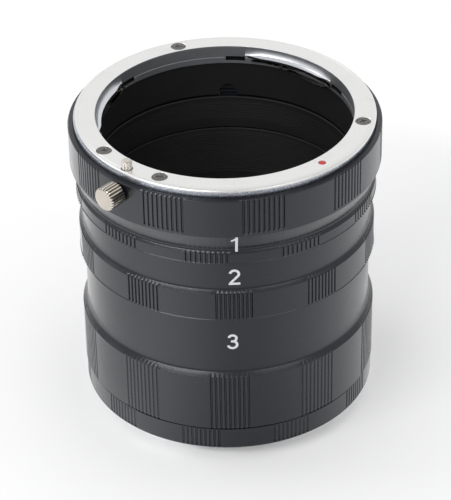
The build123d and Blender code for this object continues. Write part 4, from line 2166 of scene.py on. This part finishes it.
@dataclass
class Digit:
    """A painted digit that lies on a tube's wall."""

    figure: str
    body: Body
    azimuth: float
    centre: float
    low_radius: float
    low_height: float
    high_radius: float
    high_height: float
    height: float = 3.75
    stretch: float = 1.0
    stroke: float = 0.54
    lift: float = 0.015
    thickness: float = 0.05
    longest_edge: float = 0.5
    cuts: int = 3

    @staticmethod
    def arc(centre: Point, radii: Point, start: float, end: float, steps: int = 18) -> Outline:
        """Points along an ellipse.

        Args:
            centre: Its centre.
            radii: Its half width and half height.
            start: Angle of the first point, from +X.
            end: Angle of the last point.
            steps: Straight pieces of the arc.

        Returns:
            The points, in order.
        """
        points = []
        for step in range(steps + 1):
            angle = math.radians(start + (end - start) * step / steps)
            x = centre[0] + radii[0] * math.cos(angle)
            points.append((x, centre[1] + radii[1] * math.sin(angle)))
        return points

    def outline(self) -> Outline:
        """Outline of the figure, with its left foot at the origin.

        Returns:
            Its points, in order.
        """
        return {"1": self.one, "2": self.two, "3": self.three}[self.figure]()

    def one(self) -> Outline:
        """Outline of the 1: a stem with a curved flag.

        Returns:
            Its points, in order.
        """
        tall = self.height
        left = 0.98
        stem = [(left, 0.0), (left + self.stroke, 0.0), (left + self.stroke, tall), (1.08, tall)]
        flag_top = [(0.86, tall - 0.42), (0.5, tall - 0.66), (0.12, tall - 0.8)]
        flag_base = [(0.12, tall - 1.24), (0.6, tall - 1.09), (left, tall - 0.86)]
        return stem + flag_top + flag_base

    def two(self) -> Outline:
        """Outline of the 2: a bow on a straight foot.

        Returns:
            Its points, in order.
        """
        stroke = self.stroke
        wide, high = 1.16, 1.12
        right = 2.42
        centre = (1.25, self.height - high)
        outer = self.arc(centre, (wide, high), 172, -38)
        inner = self.arc(centre, (wide - stroke, high - stroke), -44, 172)
        foot = [(0.82, stroke), (right, stroke), (right, 0.0), (0.02, 0.0)]
        heel = [(0.06, 0.3), (0.26, 0.66)]
        return outer + foot + heel + inner

    def three(self) -> Outline:
        """Outline of the 3: two bows and the bar between them.

        Returns:
            Its points, in order.
        """
        stroke = self.stroke
        top_wide, top_high = 1.06, 1.02
        low_wide, low_high = 1.2, 1.13
        upper = (low_wide, self.height - top_high)
        lower = (low_wide, low_high)
        top_out = self.arc(upper, (top_wide, top_high), 168, -38)
        low_out = self.arc(lower, (low_wide, low_high), 42, -168)
        low_in = self.arc(lower, (low_wide - stroke, low_high - stroke), -168, 90)
        top_in = self.arc(upper, (top_wide - stroke, top_high - stroke), -90, 168)
        bar_left = 0.86
        bar_low = (bar_left, lower[1] + low_high - stroke)
        bar_high = (bar_left, upper[1] - top_high + stroke)
        return top_out + low_out + low_in + [bar_low, bar_high] + top_in

    def on_wall(self, across: float, up: float, depth: float) -> Vector:
        """Point of the digit on the wall.

        Args:
            across: Distance to the right of the digit's middle.
            up: Distance above the digit's middle.
            depth: Distance into the wall.

        Returns:
            The point in metres.
        """
        height = self.centre + up * self.stretch
        share = (height - self.low_height) / (self.high_height - self.low_height)
        radius = self.low_radius + share * (self.high_radius - self.low_radius)
        radius = max(radius, self.low_radius + self.low_height - height)
        azimuth = self.azimuth + math.degrees(across / radius)
        return spot(radius + self.lift - depth, azimuth, height)

    def build(self) -> None:
        """Fill the outline, bend it around the wall and give it a paint's thickness."""
        outline = self.outline()
        middle = (min(x for x, _ in outline) + max(x for x, _ in outline)) / 2
        flat = [Vector((x - middle, y - self.height / 2, 0.0)) for x, y in outline]
        shape = bmesh.new()
        corners = [shape.verts.new(point) for point in flat]
        for triangle in tessellate_polygon([flat]):
            shape.faces.new([corners[index] for index in triangle])
        bmesh.ops.subdivide_edges(
            shape,
            edges=[edge for edge in shape.edges if edge.calc_length() > self.longest_edge],
            cuts=self.cuts,
            use_grid_fill=True,
        )
        moved = bmesh.ops.extrude_face_region(shape, geom=list(shape.faces), use_keep_orig=True)
        back = {item for item in moved["geom"] if isinstance(item, bmesh.types.BMVert)}
        for vertex in shape.verts:
            depth = self.thickness if vertex in back else 0.0
            vertex.co = self.on_wall(vertex.co.x, vertex.co.y, depth)
        bmesh.ops.recalc_face_normals(shape, faces=shape.faces)
        if shape.calc_volume(signed=True) < 0:
            bmesh.ops.reverse_faces(shape, faces=shape.faces)
        name = f"digit_{self.figure}"
        mesh = bpy.data.meshes.new(name)
        shape.to_mesh(mesh)
        shape.free()
        smooth(mesh)
        piece = dress(new_object(name, mesh), WHITE_ENAMEL)
        hand_over(piece, self.body, [])


@dataclass
class Springs:
    """The small sprung pieces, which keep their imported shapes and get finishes."""

    leaves: tuple[str, ...] = ("leaf_spring_1", "leaf_spring_2", "leaf_spring_3")
    brass: tuple[str, ...] = ("spring_rivet_1", "spring_rivet_2", "spring_rivet_3")

    def build(self) -> None:
        """Give each node its finish."""
        for names, finish in ((self.leaves, SHEARED_STEEL), (self.brass, BRIGHT_BRASS)):
            for name in names:
                dress(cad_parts[name], finish)
                LOG.info("%s: finish %s", name, finish.name)


# Studio


@dataclass
class Camera:
    """The photograph's view, for an image of 451 by 500 pixels."""

    target_height: float = 33.0
    distance: float = 509.71
    elevation: float = 33.597
    roll: float = -1.0418
    focal_pixels: float = 2365.81
    centre: Point = (227.027, 237.313)
    width: float = 451.0
    height: float = 500.0
    sensor: float = 36.0
    nearest: float = 0.01
    farthest: float = 20.0

    def build(self) -> None:
        """Make the camera and set it as the scene's."""
        tilt = math.radians(self.elevation)
        roll = math.radians(self.roll)
        forward = Vector((0.0, math.cos(tilt), -math.sin(tilt)))
        up = Vector((0.0, math.sin(tilt), math.cos(tilt)))
        right = Vector((1.0, 0.0, 0.0))
        rolled_right = right * math.cos(roll) + up * math.sin(roll)
        rolled_up = up * math.cos(roll) - right * math.sin(roll)
        data = bpy.data.cameras.new("photo_camera")
        data.sensor_fit = "AUTO"
        data.sensor_width = self.sensor
        data.lens = self.focal_pixels / self.height * self.sensor
        data.shift_x = (self.width / 2 - self.centre[0]) / self.height
        data.shift_y = (self.centre[1] - self.height / 2) / self.height
        data.clip_start = self.nearest
        data.clip_end = self.farthest
        camera = new_object("photo_camera", data)
        place = (UP * self.target_height - forward * self.distance) * MM
        camera.matrix_world = axes(rolled_right, rolled_up, -forward, place)
        bpy.context.scene.camera = camera


@dataclass
class Lamp:
    """A soft box of light aimed at the part."""

    name: str
    place: tuple[float, float, float]
    width: float
    height: float
    watts: float
    roll: float
    aim_height: float = 0.03

    def build(self) -> None:
        """Make the lamp."""
        data = bpy.data.lights.new(self.name, "AREA")
        data.shape = "RECTANGLE"
        data.size = self.width
        data.size_y = self.height
        data.energy = self.watts
        lamp = new_object(self.name, data)
        lamp.location = self.place
        aim = UP * self.aim_height - Vector(self.place)
        roll = Matrix.Rotation(math.radians(self.roll), 3, "Z")
        lamp.rotation_euler = (aim.to_track_quat("-Z", "Y").to_matrix() @ roll).to_euler()


@dataclass
class Studio:
    """A pale floor under a soft, even light, whose glow the part mirrors on both sides."""

    floor_half: float = 1.6
    floor_level: float = -0.0034
    floor_colour: Colour = rgb(0.93, 0.93, 0.935)
    floor_roughness: float = 0.85
    glow: float = 3.0
    lift: float = 0.026
    left_glow: float = 0.39
    left_reach: float = 0.6
    left_turn: float = 0.8
    left_fall: float = 2.5
    right_glow: float = 0.23
    right_start: float = 0.3
    sky_colour: Colour = rgb(1.0, 1.0, 1.0)
    sky_strength: float = 0.81
    sky_lean: float = 0.26
    backdrop_strength: float = 1.0
    lamps: tuple[Lamp, ...] = (
        Lamp("key_lamp", (-0.6, -0.7, 0.78), 0.84, 0.12, 4.6, 12.0),
        Lamp("fill_lamp", (0.6, -0.7, 0.78), 0.7, 0.16, 1.1, -12.0),
        Lamp("side_lamp", (-0.9, 0.35, 0.8), 0.6, 0.5, 1.4, 0.0),
    )

    def floor_material(self) -> bpy.types.Material:
        """Make the floor's material, which glows a little towards the camera and in mirrors.

        Returns:
            The material.
        """
        material = bpy.data.materials.new("pale_floor")
        tree = cleared_tree(material)
        plain = {"Base Color": self.floor_colour, "Roughness": self.floor_roughness}
        plain["Specular IOR Level"] = 0.0
        surface = tree.node("ShaderNodeBsdfPrincipled", {}, plain)
        rays = tree.node("ShaderNodeLightPath")
        seen = tree.number(rays, "Is Camera Ray")
        mirrored = tree.number(rays, "Is Glossy Ray")
        x, y, _ = tree.parts(tree.node("ShaderNodeTexCoord").outputs["Object"])
        side = x / axis_distance(x, y)
        fall = 1.0 + (side + self.left_turn).at_most(0.0) * self.left_fall
        left = (side / -self.left_reach).clamped() * fall
        right = ((side - self.right_start) / (1 - self.right_start)).clamped()
        share = seen * self.lift + mirrored * (left * self.left_glow + right * self.right_glow)
        glow = tree.node("ShaderNodeEmission", {}, {"Strength": self.glow})
        mixed = {0: share, 1: surface.outputs[0], 2: glow.outputs[0]}
        both = tree.node("ShaderNodeMixShader", {}, mixed)
        tree.close("ShaderNodeOutputMaterial", both.outputs[0])
        return material

    def build_floor(self) -> None:
        """Make the floor."""
        half = self.floor_half
        mesh = bpy.data.meshes.new("floor")
        corners = [(-half, -half), (half, -half), (half, half), (-half, half)]
        mesh.from_pydata([(x, y, self.floor_level) for x, y in corners], [], [(0, 1, 2, 3)])
        mesh.materials.append(self.floor_material())
        new_object("floor", mesh)

    def build_world(self) -> None:
        """Make the sky, brighter behind than in front, and the backdrop that the camera sees."""
        world = bpy.data.worlds.new("studio_world")
        tree = cleared_tree(world)
        seen = tree.number(tree.node("ShaderNodeLightPath"), "Is Camera Ray")
        _, backwards, _ = tree.parts(tree.node("ShaderNodeTexCoord").outputs["Generated"])
        dim, strong = self.sky_strength - self.sky_lean, self.sky_strength + self.sky_lean
        front, back, backdrop = (
            tree.node("ShaderNodeBackground", {}, {"Color": self.sky_colour, "Strength": strength})
            for strength in (dim, strong, self.backdrop_strength)
        )
        lean = {0: 0.5 + backwards * 0.5, 1: front.outputs[0], 2: back.outputs[0]}
        sky = tree.node("ShaderNodeMixShader", {}, lean)
        mixed = {0: seen, 1: sky.outputs[0], 2: backdrop.outputs[0]}
        both = tree.node("ShaderNodeMixShader", {}, mixed)
        tree.close("ShaderNodeOutputWorld", both.outputs[0])
        bpy.context.scene.world = world

    def build(self) -> None:
        """Make the floor, the world and the lamps."""
        self.build_floor()
        self.build_world()
        bpy.context.scene.view_settings.view_transform = "Standard"
        for lamp in self.lamps:
            lamp.build()


FLANGE_AZIMUTHS = (-160.2, -57.9, -27.0, 78.6)
FLANGE_SCREWS = Screws(
    "flange_screws", Body.LENS, 29.05, FLANGE_AZIMUTHS, FLANGE_TOP, 1.65, 0.8, 5.5, True
)
BAYONET_AZIMUTHS = (-135.0, -45.0, 45.0, 135.0)
BAYONET_SCREWS = Screws(
    "bayonet_screws", Body.CAMERA, 29.75, BAYONET_AZIMUTHS, 0.0, 0.85, 0.5, 4.2, False
)
TUBES = (
    Tube(
        3,
        Body.TUBE_3,
        TUBE_3_BASE,
        TUBE_LENGTHS[0],
        band_radius=31.6,
        band_height=13.3,
        plain_radius=30.5,
        top_radius=30.5,
        grip_azimuth=0.1,
        grip_pitch=1.78,
        lip=0.0,
        grip_depth=0.21,
    ),
    Tube(
        2,
        Body.TUBE_2,
        TUBE_2_BASE,
        TUBE_LENGTHS[1],
        band_radius=31.5,
        band_height=6.3,
        plain_radius=30.6,
        top_radius=30.6,
        grip_azimuth=2.2,
        grip_pitch=1.62,
    ),
    Tube(
        1,
        Body.TUBE_1,
        TUBE_1_BASE,
        TUBE_LENGTHS[2],
        band_radius=31.7,
        band_height=2.3,
        plain_radius=31.0,
        top_radius=32.6,
        grip_azimuth=28.3,
        grip_pitch=1.87,
        socket_depth=2.4,
    ),
)
DIGITS = (
    Digit("1", Body.TUBE_1, 2.6, 52.42, 31.0, 50.6, 32.6, 54.6, stretch=1.14),
    Digit("2", Body.TUBE_2, 2.5, 43.6, 30.6, 40.8, 30.6, 47.6),
    Digit("3", Body.TUBE_3, 1.45, 27.4, 30.5, 20.0, 30.5, 33.6),
)


def main() -> None:
    """Build the camera, the sub-assemblies and the studio in order."""
    logging.basicConfig(level=logging.INFO, format="%(message)s")
    Camera().build()
    CameraRing().build()
    CameraBayonet().build(BAYONET_SCREWS)
    BAYONET_SCREWS.build([f"bayonet_screw_{number}" for number in range(1, 5)])
    for tube in TUBES:
        tube.build()
    LensRing().build()
    LensFlange().build(FLANGE_SCREWS)
    FLANGE_SCREWS.build([f"flange_screw_{number}" for number in range(1, 5)])
    LensLock().build()
    LockSpring().build()
    for digit in DIGITS:
        digit.build()
    Springs().build()
    Studio().build()


if __name__ == "__main__":
    main()
